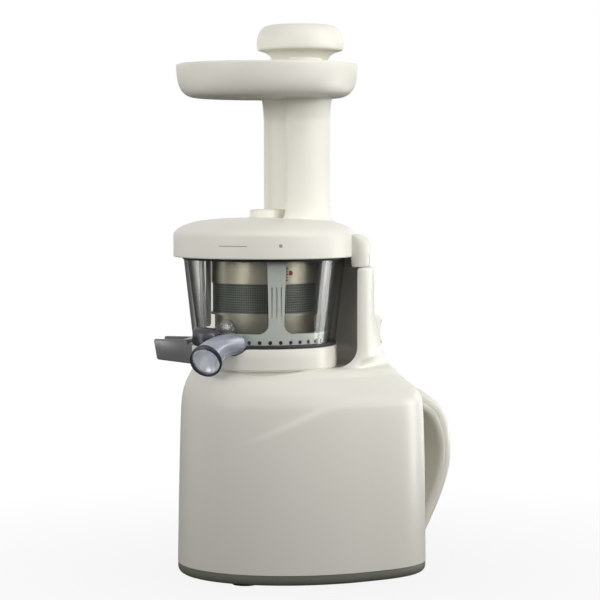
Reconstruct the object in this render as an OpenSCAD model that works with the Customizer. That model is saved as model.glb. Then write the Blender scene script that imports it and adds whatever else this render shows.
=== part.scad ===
// Cold press juicer: a motor housing with a column and a handle at its back, a smoky
// drum with a strainer, brush and auger, and a lid with a crescent feed chute and tray.
// Front is -X (the two spouts), back is +X (column, rocker switch and handle).
// Every module is drawn about the drum axis, and place() moves it so that the origin
// lies under the middle of the whole machine.

/* [Housing] */
// Half of the housing's width at its foot
housing_half_w = 80; // [78:0.5:82]
// Distance from the drum axis to the housing's front
housing_front = 63.3; // [62:0.5:66]
// Distance from the drum axis to the housing's back
housing_back = 114; // [112:0.5:118]
// Thickness of the moulded walls of the housing
housing_wall = 3; // [2.5:0.25:3.5]
// Height of the rubber feet under the bottom pan
foot_h = 2.5; // [2:0.5:3]

/* [Column and handle] */
// Radius of the column's face that looks at the drum
column_in_r = 70; // [69:0.5:71]
// Half of the angle that the column spans around the drum
column_half_angle = 44; // [40:1:46]
// Height of the column's top above the table
column_top = 225; // [224:0.5:226]
// Width of the handle
handle_w = 27; // [22:1:32]

/* [Drum] */
// Radius of the collar that the drum stands on
collar_r = 53; // [52.5:0.25:54]
// Radius of the drum at its foot
bowl_foot_r = 51.5; // [51:0.25:52]
// Widening of the drum for each millimetre of height
bowl_flare = 0.1125; // [0.1:0.0025:0.12]
// Thickness of the drum's wall
bowl_wall = 2.5; // [2:0.25:3]
// Outer radius of the strainer
strainer_r = 37.5; // [37:0.25:38]

/* [Lid, chute and tray] */
// Outer radius of the lid
lid_r = 66; // [65:0.5:67]
// Radius of the round back of the feed chute
chute_r = 25; // [24:0.5:26]
// Height of the tray's rim above the table
tray_top = 371; // [368:1:374]
// Outer radius of the tray
tray_r = 66; // [60:1:70]
// Height of the pusher's top above the table
pusher_top = 401; // [398:1:404]

/* [Gears] */
// Teeth on each of the two small pinions of the reduction
pinion_teeth = 12; // [12:1:12]
// Teeth on each of the two large wheels of the reduction
wheel_teeth = 60; // [60:1:60]
// Module of the teeth next to the motor
fast_module = 1; // [1:0.1:1]
// Module of the teeth next to the drum
slow_module = 1.5; // [1.5:0.1:1.5]

/* [Hidden] */

// The origin lies midway between the foremost spout lip and the back of the handle
origin_x = 41.1;
slack = 0.3;        // gap between pieces that move apart
bore_gap = 0.05;    // radial gap of a running fit

// Heights above the table
pan_bottom = foot_h;
pan_top = pan_bottom + 3.5;
shell_bottom = 10;
shoulder_top = 152.5;
collar_top = 168.5;
floor_top = 168.5;      // floor of the drum
gear_low = 169.2;       // planet gears, sun gear and the brush's ring gear
gear_high = 175.2;
strainer_low = 176;
bowl_top = 246;
stub_low = 155.4;        // foot of the drum inside the collar
stub_r = 50.2;
skirt_low = 232.5;
skirt_high = 250.5;
chute_top = 349;
tray_low = 347;

// Housing outline at each height: [height, front, half width, back]
back_exp = 3;           // how square the back of the outline is
wide_x = 38;            // where the housing is widest
shell_rows = [
    [shell_bottom, housing_front, housing_half_w, housing_back],
    [60, housing_front - 0.9, housing_half_w - 0.9, housing_back - 0.5],
    [100, housing_front - 1.8, housing_half_w - 2.1, housing_back - 1],
    [126, housing_front - 2.8, housing_half_w - 3.5, housing_back - 2],
    [135, housing_front - 3.8, housing_half_w - 6.5, housing_back - 5.5],
    [142, housing_front - 5.4, housing_half_w - 12, housing_back - 10.5],
    [147, housing_front - 7.2, housing_half_w - 18, housing_back - 16],
    [150.5, housing_front - 8.8, housing_half_w - 22, housing_back - 21],
    [shoulder_top, housing_front - 9.9, housing_half_w - 25, housing_back - 25]
];
ring_n = 56;            // points around the housing

// Column: distance of its back from the drum axis at each height
column_back_rows = [
    [column_top, 83], [190, 84], [183, 86], [175, 88.5], [165, 91.5],
    [157, 96], [150, 100.5], [143, 105], [132, 109]
];
column_out_r = 78;      // radius of its near edge
column_fillet = 15;     // rounding between the column and the shoulder
hollow_fillet = 14.5;   // rounding between its hollow face and the shoulder

// Motor and gear train
fast_pitch = fast_module * (pinion_teeth + wheel_teeth) / 2;
slow_pitch = slow_module * (pinion_teeth + wheel_teeth) / 2;
idler_angle = 41;       // direction of the idler from the drum axis
idler_xy = slow_pitch * [cos(idler_angle), sin(idler_angle)];
motor_xy = [idler_xy.x + sqrt(fast_pitch * fast_pitch - idler_xy.y * idler_xy.y), 0];
to_idler = atan2(idler_xy.y - motor_xy.y, idler_xy.x - motor_xy.x);
stator_r = 38;
stator_bore = 19.6;
rotor_r = 19.2;
stator_low = 34;
stator_high = 80;
bolt_r = 35.4;          // circle of the motor's long bolts
motor_shaft_r = 4;
box_low = 92;           // gearbox floor
box_high = 125;
cover_high = 128;
box_wall_r = 54;        // gearbox outer radius round the output gear
box_bore_r = 48;
idler_wall_r = 36;
idler_bore_r = 32.3;
idler_pin_r = 4;
output_r = 7;           // round part of the drive shaft
hex_r = 6.4;            // corner radius of its hexagonal end

// Screws of the gearbox: three round the output gear, one beyond the idler
box_screws = [
    for (a = [115, 180, 245]) 51 * [cos(a), sin(a)],
    idler_xy + 34.1 * [cos(30), sin(30)]
];

// Drum gears
drum_module = 1.25;
sun_teeth = 24;
planet_teeth = 20;
ring_teeth = 64;
planet_orbit = drum_module * (sun_teeth + planet_teeth) / 2;
planet_a_dir = 30;
planet_b_dir = 210;
post_r = 4;

// Spouts
juice_dir = 208;        // direction of the juice spout, seen from above
juice_slope = 10;
juice_r = 10.5;
juice_bore = 8.5;
juice_z0 = 173.2;       // height of its axis at the drum axis
pulp_dir = 140;
pulp_half_w = 16;
pulp_tip = 79.6;

// Chute
chute_x = 25.6;
chute_bite = 16;        // radius of its concave front, about the drum axis
chute_wall = 2.4;

// Rocker switch
rocker_x = 85.5;
rocker_z = 175;
rocker_half_h = 8.9;
rocker_gap = 1.2;       // room above and below it, for its tilt
rocker_half_w = 8;

// Lock plunger in the column's top
plunger_x = 77;
plunger_r = 3;

feet_xy = [[-32, -32], [-32, 32], [86, -48], [86, 48]];
pan_screw_xy = [[-22, -52], [-22, 52], [68, -62], [68, 62]];

// ---------------------------------------------------------------- helpers

module place() {
    translate([-origin_x, 0, 0]) children();
}

// Value at height z of a table of [height, value] rows given from the top down
function row_value(z, rows, i = 0) =
    i >= len(rows) - 1 ? rows[i][1]
    : z >= rows[i + 1][0]
        ? let (t = (z - rows[i + 1][0]) / (rows[i][0] - rows[i + 1][0]))
            rows[i + 1][1] + t * (rows[i][1] - rows[i + 1][1])
        : row_value(z, rows, i + 1);

function signed_pow(v, p) = sign(v) * pow(abs(v), p);

// One closed outline of the housing, shrunk by inset
function shell_ring(row, inset) = [
    for (i = [0 : ring_n - 1])
        let (
            a = 360 * i / ring_n,
            half = row[2] - inset,
            reach = a < 90 || a > 270 ? row[3] - inset - wide_x : wide_x + row[1] - inset,
            p = a < 90 || a > 270 ? 2 / back_exp : 1
        )
        [wide_x + reach * signed_pow(cos(a), p), half * signed_pow(sin(a), p), row[0]]
];

// Closed skin over a stack of rings that all have the same number of points
module skin(rings) {
    n = len(rings[0]);
    last = len(rings) - 1;
    sides = [
        for (k = [0 : last - 1], i = [0 : n - 1])
            let (j = (i + 1) % n)
            each [
                [k * n + i, (k + 1) * n + i, (k + 1) * n + j],
                [k * n + i, (k + 1) * n + j, k * n + j]
            ]
    ];
    low_cap = [[for (i = [0 : n - 1]) i]];
    high_cap = [[for (i = [n - 1 : -1 : 0]) last * n + i]];
    polyhedron(points = [for (r = rings) each r], faces = concat(sides, low_cap, high_cap), convexity = 6);
}

module shell_solid() {
    skin([for (row = shell_rows) shell_ring(row, 0)]);
}

// Inner hollow of the housing: the same outline, one wall smaller and one wall lower
module shell_hollow() {
    low = [[0, shell_rows[0][1], shell_rows[0][2], shell_rows[0][3]]];
    lowered = [
        for (row = shell_rows)
            [row[0] - (row[0] > 140 ? housing_wall : 0), row[1], row[2], row[3]]
    ];
    skin([for (row = concat(low, lowered)) shell_ring(row, housing_wall)]);
}

// Involute gear outline. A negative backlash makes the cutter for an internal ring.
pressure = 25;
function involute(a) = tan(a) * 180 / PI - a;
function tooth_half_angle(r, n, m, backlash) =
    let (pitch_r = n * m / 2, base_r = pitch_r * cos(pressure))
    90 / n - backlash / pitch_r * 90 / PI + involute(pressure)
    - (r > base_r ? involute(acos(base_r / r)) : 0);
function gear_points(n, m, add, ded, backlash, phase) =
    let (
        pitch_r = n * m / 2,
        low = pitch_r - ded * m,
        high = pitch_r + add * m,
        radii = [low, max(low, pitch_r * cos(pressure)) * 0.4 + pitch_r * 0.6, pitch_r, high]
    )
    [
        for (k = [0 : n - 1], s = [-1, 1], i = [0 : 3])
            let (
                r = s < 0 ? radii[i] : radii[3 - i],
                a = phase + 360 * k / n + s * tooth_half_angle(r, n, m, backlash)
            )
            r * [cos(a), sin(a)]
    ];

gear_backlash = 0.16;
module spur_gear(n, m, phase, low, high) {
    translate([0, 0, low])
        linear_extrude(height = high - low)
            polygon(gear_points(n, m, 0.8, 1, gear_backlash, phase));
}

// Phase that puts a tooth space of the driven gear where the driver has a tooth
function mesh_phase(driver_n, driver_phase, driven_n, dir) =
    let (f = (dir - driver_phase) * driver_n / 360)
    dir + 180 - (0.5 - f) * 360 / driven_n;

sun_phase = 0;
planet_a_phase = mesh_phase(sun_teeth, sun_phase, planet_teeth, planet_a_dir);
planet_b_phase = mesh_phase(sun_teeth, sun_phase, planet_teeth, planet_b_dir);
ring_phase = planet_a_dir - (planet_a_dir - planet_a_phase) * planet_teeth / ring_teeth;
motor_phase = 0;
idler_phase = mesh_phase(pinion_teeth, motor_phase, wheel_teeth, to_idler);
output_phase = mesh_phase(pinion_teeth, idler_phase, wheel_teeth, idler_angle + 180);

module tube(r_out, r_in, low, high) {
    translate([0, 0, low])
        difference() {
            cylinder(r = r_out, h = high - low, $fn = 96);
            translate([0, 0, -1]) cylinder(r = r_in, h = high - low + 2, $fn = 96);
        }
}

module rod(r, low, high) {
    translate([0, 0, low]) cylinder(r = r, h = high - low, $fn = 64);
}

module block(low, high) {
    translate(low) cube(high - low);
}

module turned(profile) {
    rotate_extrude($fn = 128) polygon(profile);
}

// Pan-head screw pointing up, its head's underside at z = 0
module screw_up(shank_r, length) {
    rod(shank_r, 0, length);
    translate([0, 0, -2.2])
        difference() {
            cylinder(r = shank_r * 1.9, h = 2.2, $fn = 32);
            translate([-shank_r * 1.2, -0.4, -1]) cube([shank_r * 2.4, 0.8, 2]);
            translate([-0.4, -shank_r * 1.2, -1]) cube([0.8, shank_r * 2.4, 2]);
        }
}

// ---------------------------------------------------------------- housing

module body_shell() {
    color("ivory") place() difference() {
        shell_solid();
        shell_hollow();
        rod(50, 120, 160);
        // opening for the wires under the column
        block([73, -10, 120], [88, 10, 160]);
        handle_screw_holes();
        translate([0, 0, shell_bottom + 8]) gland_axis() rod(7, -8, 12);
    }
}

// Outline of the column at height z: its hollow face, then its back
function column_ring(z) =
    let (
        rise = min(column_fillet, max(0, shoulder_top + column_fillet - z)),
        spread = column_fillet - sqrt(column_fillet * column_fillet - rise * rise),
        half = column_half_angle + spread / column_out_r * 180 / PI,
        back = row_value(z, column_back_rows),
        dip = min(hollow_fillet, max(0, shoulder_top + hollow_fillet - z)),
        hollow = column_in_r - hollow_fillet + sqrt(hollow_fillet * hollow_fillet - dip * dip),
        n = 14
    )
    concat(
        [for (i = [0 : n]) let (a = half - 2 * half * i / n) [hollow * cos(a), hollow * sin(a), z]],
        [for (i = [0 : n])
            let (
                a = -half + 2 * half * i / n,
                r = column_out_r + (back - column_out_r) * pow(cos(90 * a / half), 2)
            )
            [r * cos(a), r * sin(a), z]]
    );

module column_solid() {
    levels = [132, 143, 150, 152.5, 153, 154.5, 157, 160, 163.5, 167.5, 175, 183, 190, column_top];
    skin([for (z = levels) let (ring = column_ring(z)) [for (i = [len(ring) - 1 : -1 : 0]) ring[i]]]);
}

module column() {
    color("ivory") place() difference() {
        column_solid();
        shell_solid();
        block([73, -10, 120], [80.5, 10, 221]);
        block([73, -10, 120], [88, 10, 160]);
        block([70.5 + 2.5, -11, 162.5], [120, 11, 187.5]);
        translate([plunger_x, 0, 0]) rod(plunger_r + bore_gap, 210, 230);
    }
}

module drum_seat() {
    seat = [
        [9, 146], [49.9, 146], [49.9, shoulder_top], [collar_r, shoulder_top],
        [collar_r, collar_top], [stub_r + 0.4, collar_top], [stub_r + 0.4, stub_low - 0.4],
        [46, stub_low - 0.4], [46, 149], [9, 149]
    ];
    color("ivory") place() {
        difference() {
            turned(seat);
            rotate([0, 0, pulp_dir])
                block([30, -pulp_half_w - 0.6, shoulder_top], [60, pulp_half_w + 0.6, 200]);
            rotate([0, 0, juice_dir])
                block([40, -juice_r - 0.8, shoulder_top], [60, juice_r + 0.8, 200]);
        }
        for (a = [97, 212, 278])
            rotate([0, 0, a]) translate([46, 0, 0]) rod(3, cover_high, 146);
    }
}

module base_pan() {
    color("dimgray") place() difference() {
        union() {
            translate([0, 0, pan_bottom])
                linear_extrude(height = shell_bottom - pan_bottom)
                    polygon([for (p = shell_ring(shell_rows[0], 0)) [p.x, p.y]]);
            for (p = pan_screw_xy) translate(p) rod(5, pan_top, 18);
        }
        difference() {
            translate([0, 0, pan_top])
                linear_extrude(height = shell_bottom)
                    polygon([for (p = shell_ring(shell_rows[0], housing_wall)) [p.x, p.y]]);
            for (p = pan_screw_xy) translate(p) rod(5, 0, 18);
            for (y = [-33, 29]) block([86, y, 0], [96, y + 4, 60]);
        }
        block([89.7, -40, pan_top + 0.4], [91.9, 40, 60]);
        // air slots under the fan
        for (i = [-3 : 3])
            block([motor_xy.x + 8 * i - 2, -22, 0], [motor_xy.x + 8 * i + 2, 22, pan_top + 1]);
        for (p = pan_screw_xy) translate(p) {
            rod(1.9, 0, 30);
            rod(4.4, 0, pan_bottom + 2.3);
        }
        for (p = feet_xy) translate(p) rod(3, 0, 30);
    }
}

module feet() {
    color("black") place()
        for (p = feet_xy) translate(p) {
            rod(9, 0, pan_bottom);
            rod(2.9, pan_bottom, pan_top);
            rod(4.5, pan_top, pan_top + 1.5);
        }
}

module pan_screws() {
    color("silver") place()
        for (p = pan_screw_xy) translate([p.x, p.y, pan_bottom + 2.25]) screw_up(1.85, 12);
}

// Curve through hand-placed points, rounded between them
function curve_point(p, i, t) =
    let (
        a = p[max(0, i - 1)], b = p[i], c = p[i + 1], d = p[min(len(p) - 1, i + 2)]
    )
    0.5 * (2 * b + (c - a) * t + (2 * a - 5 * b + 4 * c - d) * t * t
        + (3 * b - a - 3 * c + d) * t * t * t);
function smooth_path(p, steps) = [
    for (i = [0 : len(p) - 2], s = [0 : steps - 1]) curve_point(p, i, s / steps),
    p[len(p) - 1]
];

// Side view of the handle: its outer edge and the edge of the finger opening
handle_outer_edge = [
    [98, 133], [109, 136.3], [126, 130.5], [142, 120], [149.8, 108], [153.4, 90],
    [152.4, 71], [146, 51.5], [136.5, 32], [130.5, 22], [122, 15], [104, 12]
];
handle_inner_edge = [
    [96, 120], [109, 119.5], [120, 117.5], [131, 111], [138, 101.5], [141.8, 87],
    [141, 72], [136.4, 55], [129, 40], [123, 30], [116, 25], [104, 23]
];
handle_mid_edge = 0.55 * handle_inner_edge + 0.45 * handle_outer_edge;

module handle_strip(edge_a, edge_b) {
    a = smooth_path(edge_a, 3);
    b = smooth_path(edge_b, 3);
    difference() {
        rotate([90, 0, 0])
            translate([0, 0, -handle_w / 2])
                linear_extrude(height = handle_w)
                    polygon(concat(a, [for (i = [len(b) - 1 : -1 : 0]) b[i]]));
        shell_solid();
        column_solid();
        handle_screw_holes();
    }
}

handle_screw_z = [17, 126];
module handle_screw_holes() {
    for (z = handle_screw_z)
        translate([100, 0, z]) rotate([0, 90, 0]) rod(2.1, 0, 26);
}

module handle_screws() {
    color("silver") place()
        for (i = [0, 1])
            translate([housing_back - housing_wall - 1 - 4 * i, 0, handle_screw_z[i]])
                rotate([0, 90, 0]) screw_up(2, 12);
}

module handle_inner() {
    color("wheat") place() handle_strip(handle_mid_edge, handle_inner_edge);
}

module handle_outer() {
    color("ivory") place() handle_strip(handle_outer_edge, handle_mid_edge);
}

// ---------------------------------------------------------------- switches and wiring

module switch_bezel() {
    color("ivory") place() difference() {
        block([80.5, -10.9, 162.6], [92.5, 10.9, 187.4]);
        block([70, -rocker_half_w - 0.4, rocker_z - rocker_half_h - rocker_gap],
              [120, rocker_half_w + 0.4, rocker_z + rocker_half_h + rocker_gap]);
        translate([rocker_x, 0, rocker_z]) rotate([90, 0, 0]) rod(1.25, -10, 10);
    }
}

module rocker() {
    // side view about the pin: a shallow V that tips either way
    face = [
        [-3.6, -4], [2.6, -rocker_half_h + 0.4], [9.4, -rocker_half_h], [7.6, 0],
        [9.4, rocker_half_h], [2.6, rocker_half_h - 0.4], [-3.6, 4]
    ];
    color("dimgray") place() translate([rocker_x, 0, rocker_z]) rotate([90, 0, 0]) difference() {
        translate([0, 0, -rocker_half_w]) linear_extrude(height = 2 * rocker_half_w) polygon(face);
        rod(1.2 + bore_gap, -20, 20);
    }
}

module rocker_pin() {
    color("silver") place()
        translate([rocker_x, 0, rocker_z]) rotate([90, 0, 0]) rod(1.2, -10, 10);
}

module switch_block() {
    color("black") place() {
        block([73.2, -9, 165], [79.6, 9, 186]);
        for (y = [-6, 0, 6]) block([74.5, y - 0.4, 159], [75.5, y + 0.4, 165]);
    }
}

module gland_axis() {
    translate([housing_back - 4, 34, 0]) rotate([0, 90, 0]) children();
}

module cord_gland() {
    color("black") place() translate([0, 0, shell_bottom + 8]) gland_axis() difference() {
        union() {
            rod(6.9, -5, 4);
            rod(9, -8, -5);
        }
        rod(3.5, -12, 20);
    }
}

module circuit_board() {
    color("darkgreen") place() difference() {
        block([90, -33, pan_top + 0.5], [91.6, 33, 64]);
        for (y = [-28, 28]) translate([85, y, 58]) rotate([0, 90, 0]) rod(1.6, 0, 10);
    }
}

module capacitor() {
    color("gold") place() {
        translate([99.6, 0, 44]) rotate([90, 0, 0]) rod(7.8, -17, 17);
        for (y = [-14, 12]) block([91.6, y, 40], [93.2, y + 2, 48]);
    }
}

module micro_switch() {
    color("black") place() {
        block([73.6, -9, 199], [80.2, 9, 208.4]);
        translate([plunger_x, 0, 0]) rod(1.2, 208, 208.8);
    }
}

module lock_plunger() {
    color("white") place() translate([plunger_x, 0, 0]) {
        rod(plunger_r, 217, column_top);
        rod(1.4, 212, 217);
        rod(3.35, 217, 219);
    }
}

// Coil spring: a round wire swept up a helix
module plunger_spring() {
    low = 208.8;
    high = 216.6;
    coil_r = 2.5;
    wire_r = 0.35;
    turns = 5;
    steps = 60;
    sides = 6;
    rings = [
        for (i = [0 : steps])
            let (a = 360 * turns * i / steps, z = low + (high - low) * i / steps)
            [for (k = [0 : sides - 1])
                let (b = 360 * k / sides, r = coil_r + wire_r * cos(b))
                [r * cos(a), r * sin(a), z + wire_r * sin(b)]]
    ];
    color("silver") place() translate([plunger_x, 0, 0]) skin(rings);
}

// ---------------------------------------------------------------- motor

module at_motor() {
    translate([motor_xy.x, motor_xy.y, 0]) children();
}

module bolt_circle() {
    for (a = [45 : 90 : 315]) rotate([0, 0, a]) translate([bolt_r, 0, 0]) children();
}

module motor_stator() {
    color("slategray") place() at_motor() difference() {
        tube(stator_r, stator_bore, stator_low, stator_high);
        bolt_circle() rod(2.1, 0, 100);
        // slots for the windings
        for (a = [0 : 30 : 330]) rotate([0, 0, a]) block([22, -1.8, 0], [31.5, 1.8, 100]);
    }
}

module motor_windings() {
    color("peru") place() at_motor() {
        for (z = [stator_low - 6.5, stator_high])
            tube(32, 21.8, z, z + 6.5);
        for (a = [0 : 30 : 330]) rotate([0, 0, a])
            block([22.2, -1.6, stator_low], [31.3, 1.6, stator_high]);
    }
}

module bracket(low, high, leg_low, leg_high) {
    difference() {
        union() {
            rod(stator_r, low, high);
            bolt_circle() rod(2.55, leg_low, leg_high);
        }
        rod(7.05, 0, 200);
        bolt_circle() rod(2.1, 0, 200);
        for (a = [0 : 90 : 270]) rotate([0, 0, a]) translate([20, 0, 0]) rod(6.5, 0, 200);
    }
}

module motor_top_bracket() {
    color("silver") place() at_motor() bracket(88, box_low, stator_high, 89);
}

module motor_bottom_bracket() {
    color("silver") place() at_motor() bracket(23, 26, 25, stator_low);
}

module motor_bolts() {
    color("gray") place() at_motor() bolt_circle() {
        rod(1.9, 23, box_low);
        translate([0, 0, 19.6]) cylinder(r = 3.6, h = 3.4, $fn = 6);
    }
}

module motor_bushes() {
    color("goldenrod") place() at_motor() {
        tube(7, motor_shaft_r + bore_gap, 22, 27);
        tube(7, motor_shaft_r + bore_gap, 87, box_low);
    }
}

module rotor_core() {
    color("slategray") place() at_motor() tube(rotor_r, motor_shaft_r, stator_low, stator_high);
}

module rotor_shaft() {
    color("silver") place() at_motor() rod(motor_shaft_r, 12, 107);
}

module cooling_fan() {
    color("black") place() at_motor() {
        difference() {
            union() {
                rod(8, 12, 19);
                rod(30, 12, 13.6);
                for (a = [0 : 40 : 320]) rotate([0, 0, a]) block([5, -0.8, 13], [29, 0.8, 18.6]);
            }
            rod(motor_shaft_r, 0, 30);
        }
    }
}

module motor_pinion() {
    color("silver") place() at_motor() difference() {
        spur_gear(pinion_teeth, fast_module, motor_phase, 97.5, 107);
        rod(motor_shaft_r, 90, 120);
    }
}

// ---------------------------------------------------------------- gearbox

module box_outline(grow) {
    hull() {
        circle(r = box_wall_r + grow, $fn = 96);
        translate(idler_xy) circle(r = idler_wall_r + grow, $fn = 96);
        translate(motor_xy) circle(r = 14 + grow, $fn = 96);
    }
}

module box_cavity(low, high) {
    rod(box_bore_r, low, high);
    translate(idler_xy) rod(idler_bore_r, low, high);
    at_motor() rod(11, low, high);
}

module gearbox_housing() {
    color("gainsboro") place() difference() {
        translate([0, 0, box_low]) linear_extrude(height = box_high - box_low) box_outline(0);
        box_cavity(box_low + 4, 200);
        at_motor() rod(5.2, 0, 200);
        rod(10.05, 0, 200);
        translate(idler_xy) rod(idler_pin_r, box_low + 1, 200);
        for (p = box_screws) translate(p) rod(1.7, 0, 200);
    }
}

module gearbox_cover() {
    color("gainsboro") place() difference() {
        translate([0, 0, box_high]) linear_extrude(height = cover_high - box_high) box_outline(0);
        rod(10.05, 0, 200);
        translate(idler_xy) rod(idler_pin_r, 0, box_high + 2);
        for (p = box_screws) translate(p) rod(1.7, 0, 200);
    }
}

module gearbox_screws() {
    color("silver") place()
        for (p = box_screws) translate([p.x, p.y, cover_high]) mirror([0, 0, 1]) screw_up(1.65, 24);
}

module idler_pin() {
    color("silver") place() translate(idler_xy) rod(idler_pin_r, box_low + 1, box_high + 2);
}

module idler_gear() {
    color("ghostwhite") place() translate(idler_xy) difference() {
        union() {
            spur_gear(wheel_teeth, fast_module, idler_phase, 98, 106);
            spur_gear(pinion_teeth, slow_module, idler_phase, 106, 123);
        }
        rod(idler_pin_r + bore_gap, 0, 200);
    }
}

module output_gear() {
    color("silver") place() difference() {
        spur_gear(wheel_teeth, slow_module, output_phase, 109.5, 121.5);
        rod(output_r, 0, 200);
        for (a = [0 : 60 : 300]) rotate([0, 0, a]) translate([24, 0, 0]) rod(8, 0, 200);
    }
}

module drive_shaft() {
    color("silver") place() {
        rod(output_r, box_low + 1, 174);
        translate([0, 0, 174]) cylinder(r = hex_r, h = 18, $fn = 6);
    }
}

module output_bushes() {
    color("goldenrod") place() {
        tube(10, output_r + bore_gap, box_low, 100);
        tube(10, output_r + bore_gap, 122.5, 133);
    }
}

module shaft_seal() {
    seal = [
        [output_r + 0.1, 146.5], [8.9, 146.5], [8.9, 149], [11.5, 149],
        [11.5, 150.5], [8.2, 151.5], [output_r + 0.1, 150.5]
    ];
    color("dimgray") place() turned(seal);
}

// ---------------------------------------------------------------- drum

function bowl_r(z) = bowl_foot_r + (z - collar_top) * bowl_flare;

module bowl_envelope() {
    turned([
        [0, stub_low], [stub_r, stub_low], [stub_r, collar_top + slack],
        [bowl_foot_r, collar_top + slack],
        [bowl_r(bowl_top), bowl_top], [0, bowl_top]
    ]);
}

module juice_axis() {
    rotate([0, 0, juice_dir]) translate([0, 0, juice_z0]) rotate([0, 90 + juice_slope, 0]) children();
}

module bowl() {
    stub_wall = 2.4;
    foot_wall = 3.9;    // the wall is thicker where it meets the floor
    color("dimgray", 0.6) place() difference() {
        union() {
            turned([
                [stub_r - stub_wall, stub_low], [stub_r, stub_low], [stub_r, collar_top + slack],
                [bowl_foot_r, collar_top + slack], [bowl_r(bowl_top), bowl_top],
                [bowl_r(bowl_top) - bowl_wall, bowl_top],
                [bowl_foot_r - foot_wall, floor_top], [10.4, floor_top],
                [10.4, 174], [7.6, 174], [7.6, 165.5], [stub_r - stub_wall, 165.5]
            ]);
            for (a = [planet_a_dir, planet_b_dir])
                rotate([0, 0, a]) translate([planet_orbit, 0, 0]) rod(post_r, 165.5, strainer_low);
            for (a = [planet_a_dir + 60, planet_b_dir + 60])
                rotate([0, 0, a]) translate([32, 0, 0]) rod(3, 165.5, strainer_low);
        }
        pulp_duct();
        juice_axis() rod(juice_bore, 40, 60);
    }
}

// Outer shape of the pulp duct: under the floor inside the drum, taller outside
module pulp_duct() {
    rotate([0, 0, pulp_dir]) rotate([90, 0, 0])
        translate([0, 0, -pulp_half_w]) linear_extrude(height = 2 * pulp_half_w)
            polygon([
                [18, 154.3], [52, 154.3], [77, 157], [pulp_tip, 172],
                [53, 172], [53, floor_top], [18, floor_top]
            ]);
}

module pulp_spout() {
    wall = 2;
    half = pulp_half_w - wall;
    color("dimgray", 0.6) place() difference() {
        pulp_duct();
        rotate([0, 0, pulp_dir]) rotate([90, 0, 0])
            translate([0, 0, -half]) linear_extrude(height = 2 * half)
                polygon([
                    [20, 156.3], [52, 156.3], [90, 160.4], [90, 176],
                    [57, 176], [57, 170], [55, 170], [51, 166.5], [20, 166.5]
                ]);
        rotate([0, 0, pulp_dir]) block([20, -half, 160], [38, half, 180]);
        rotate([0, 0, pulp_dir]) translate([34, 0, 0]) rod(8, 150, 160);
    }
}

module pulp_plug() {
    color("gray") place() rotate([0, 0, pulp_dir]) translate([34, 0, 0]) {
        rod(7.95, 153.4, 157);
        rod(10, 151.8, 153.4);
    }
}

module juice_spout() {
    color("lightsteelblue", 0.6) place() difference() {
        juice_axis() union() {
            rod(juice_r, 44, 73);
            rod(12, 70.5, 74);
        }
        bowl_envelope();
        juice_axis() rod(juice_bore, 40, 80);
    }
}

module bowl_seal() {
    color("gray") place() turned([
        [output_r + 0.15, 161], [7.55, 161], [7.55, 162.6], [11, 162.6], [11, 165.5],
        [7.6, 165.5], [7.6, 166], [output_r + 0.15, 166]
    ]);
}

module strainer_frame() {
    band = 1.6;
    color("silver") place() difference() {
        union() {
            turned([
                [17, strainer_low], [36, strainer_low], [36, 192.5], [36 - band, 192.5],
                [36 - band, strainer_low + 1.4], [17, strainer_low + 1.4]
            ]);
            tube(strainer_r + 1, strainer_r - band, 213.5, 240);
            for (a = [0 : 60 : 300]) rotate([0, 0, a])
                block([strainer_r + 0.1, -1.5, 191.5], [strainer_r + 1, 1.5, 215]);
            tube(strainer_r + 1.2, strainer_r - 2.6, 191, 192.5);
        }
        // pulp leaves through a sector of the strainer's floor
        rotate([0, 0, pulp_dir]) block([20, -11, 150], [33, 11, 180]);
    }
}

module strainer_mesh() {
    color("darkslategray") place() difference() {
        tube(strainer_r, strainer_r - 0.8, 192.5, 213.5);
        for (z = [196 : 5 : 211], a = [0 : 15 : 345])
            rotate([0, 0, a]) block([30, -0.9, z - 1.2], [45, 0.9, z + 1.2]);
    }
}

module planet_gear(dir, phase) {
    rotate([0, 0, dir]) translate([planet_orbit, 0, 0]) rotate([0, 0, -dir]) difference() {
        spur_gear(planet_teeth, drum_module, phase, gear_low, gear_high);
        rod(post_r + bore_gap, 0, 200);
    }
}

module planet_gear_a() {
    color("white") place() planet_gear(planet_a_dir, planet_a_phase);
}

module planet_gear_b() {
    color("white") place() planet_gear(planet_b_dir, planet_b_phase);
}

brush_r_low = 46;
brush_r_high = 48;
brush_wall = 2.6;
window_dir = 28.7;      // direction of the first of its four windows
module brush_frame() {
    low = floor_top + 0.5;
    high = 239.5;
    color("lightgray", 0.8) place() difference() {
        turned([
            [41.6, low], [brush_r_low, low], [brush_r_low, 178], [brush_r_high, high],
            [brush_r_high - brush_wall, high], [brush_r_low - brush_wall, 178],
            [brush_r_low - brush_wall, gear_high + 0.4], [38, gear_high + 0.4], [38, low]
        ]);
        translate([0, 0, 160]) linear_extrude(height = gear_high + 0.5 - 160)
            polygon(gear_points(ring_teeth, drum_module, 1, 0.8, -gear_backlash, ring_phase));
        for (a = [0 : 90 : 270]) rotate([0, 0, a + window_dir])
            block([30, -28.5, 178.5], [60, 28.5, 234]);
        for (a = [0 : 12 : 348]) rotate([0, 0, a])
            translate([44.6, 0, 172.2]) rotate([0, 90, 0]) rod(0.9, 0, 10);
    }
}

module brush_wipers() {
    color("gray") place()
        for (a = [0 : 90 : 270]) rotate([0, 0, a + window_dir + 45])
            block([39.3, -1.2, 182], [43.1, 1.2, 232]);
}

// Radius of the auger: a tapered core with one screw flight round it
auger_turns = 2.4;
auger_low = 177.8;
auger_high = 248;
function auger_radius(a, z) =
    let (
        t = (z - auger_low) / (auger_high - auger_low),
        core = 25 - 13 * t,
        turn = (a / 360 + auger_turns * t) % 1,
        from_crest = abs(turn - 0.5) * 2,
        flight = 33.8 - core
    )
    core + flight * pow(max(0, 1 - from_crest / 0.42), 0.6);

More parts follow.
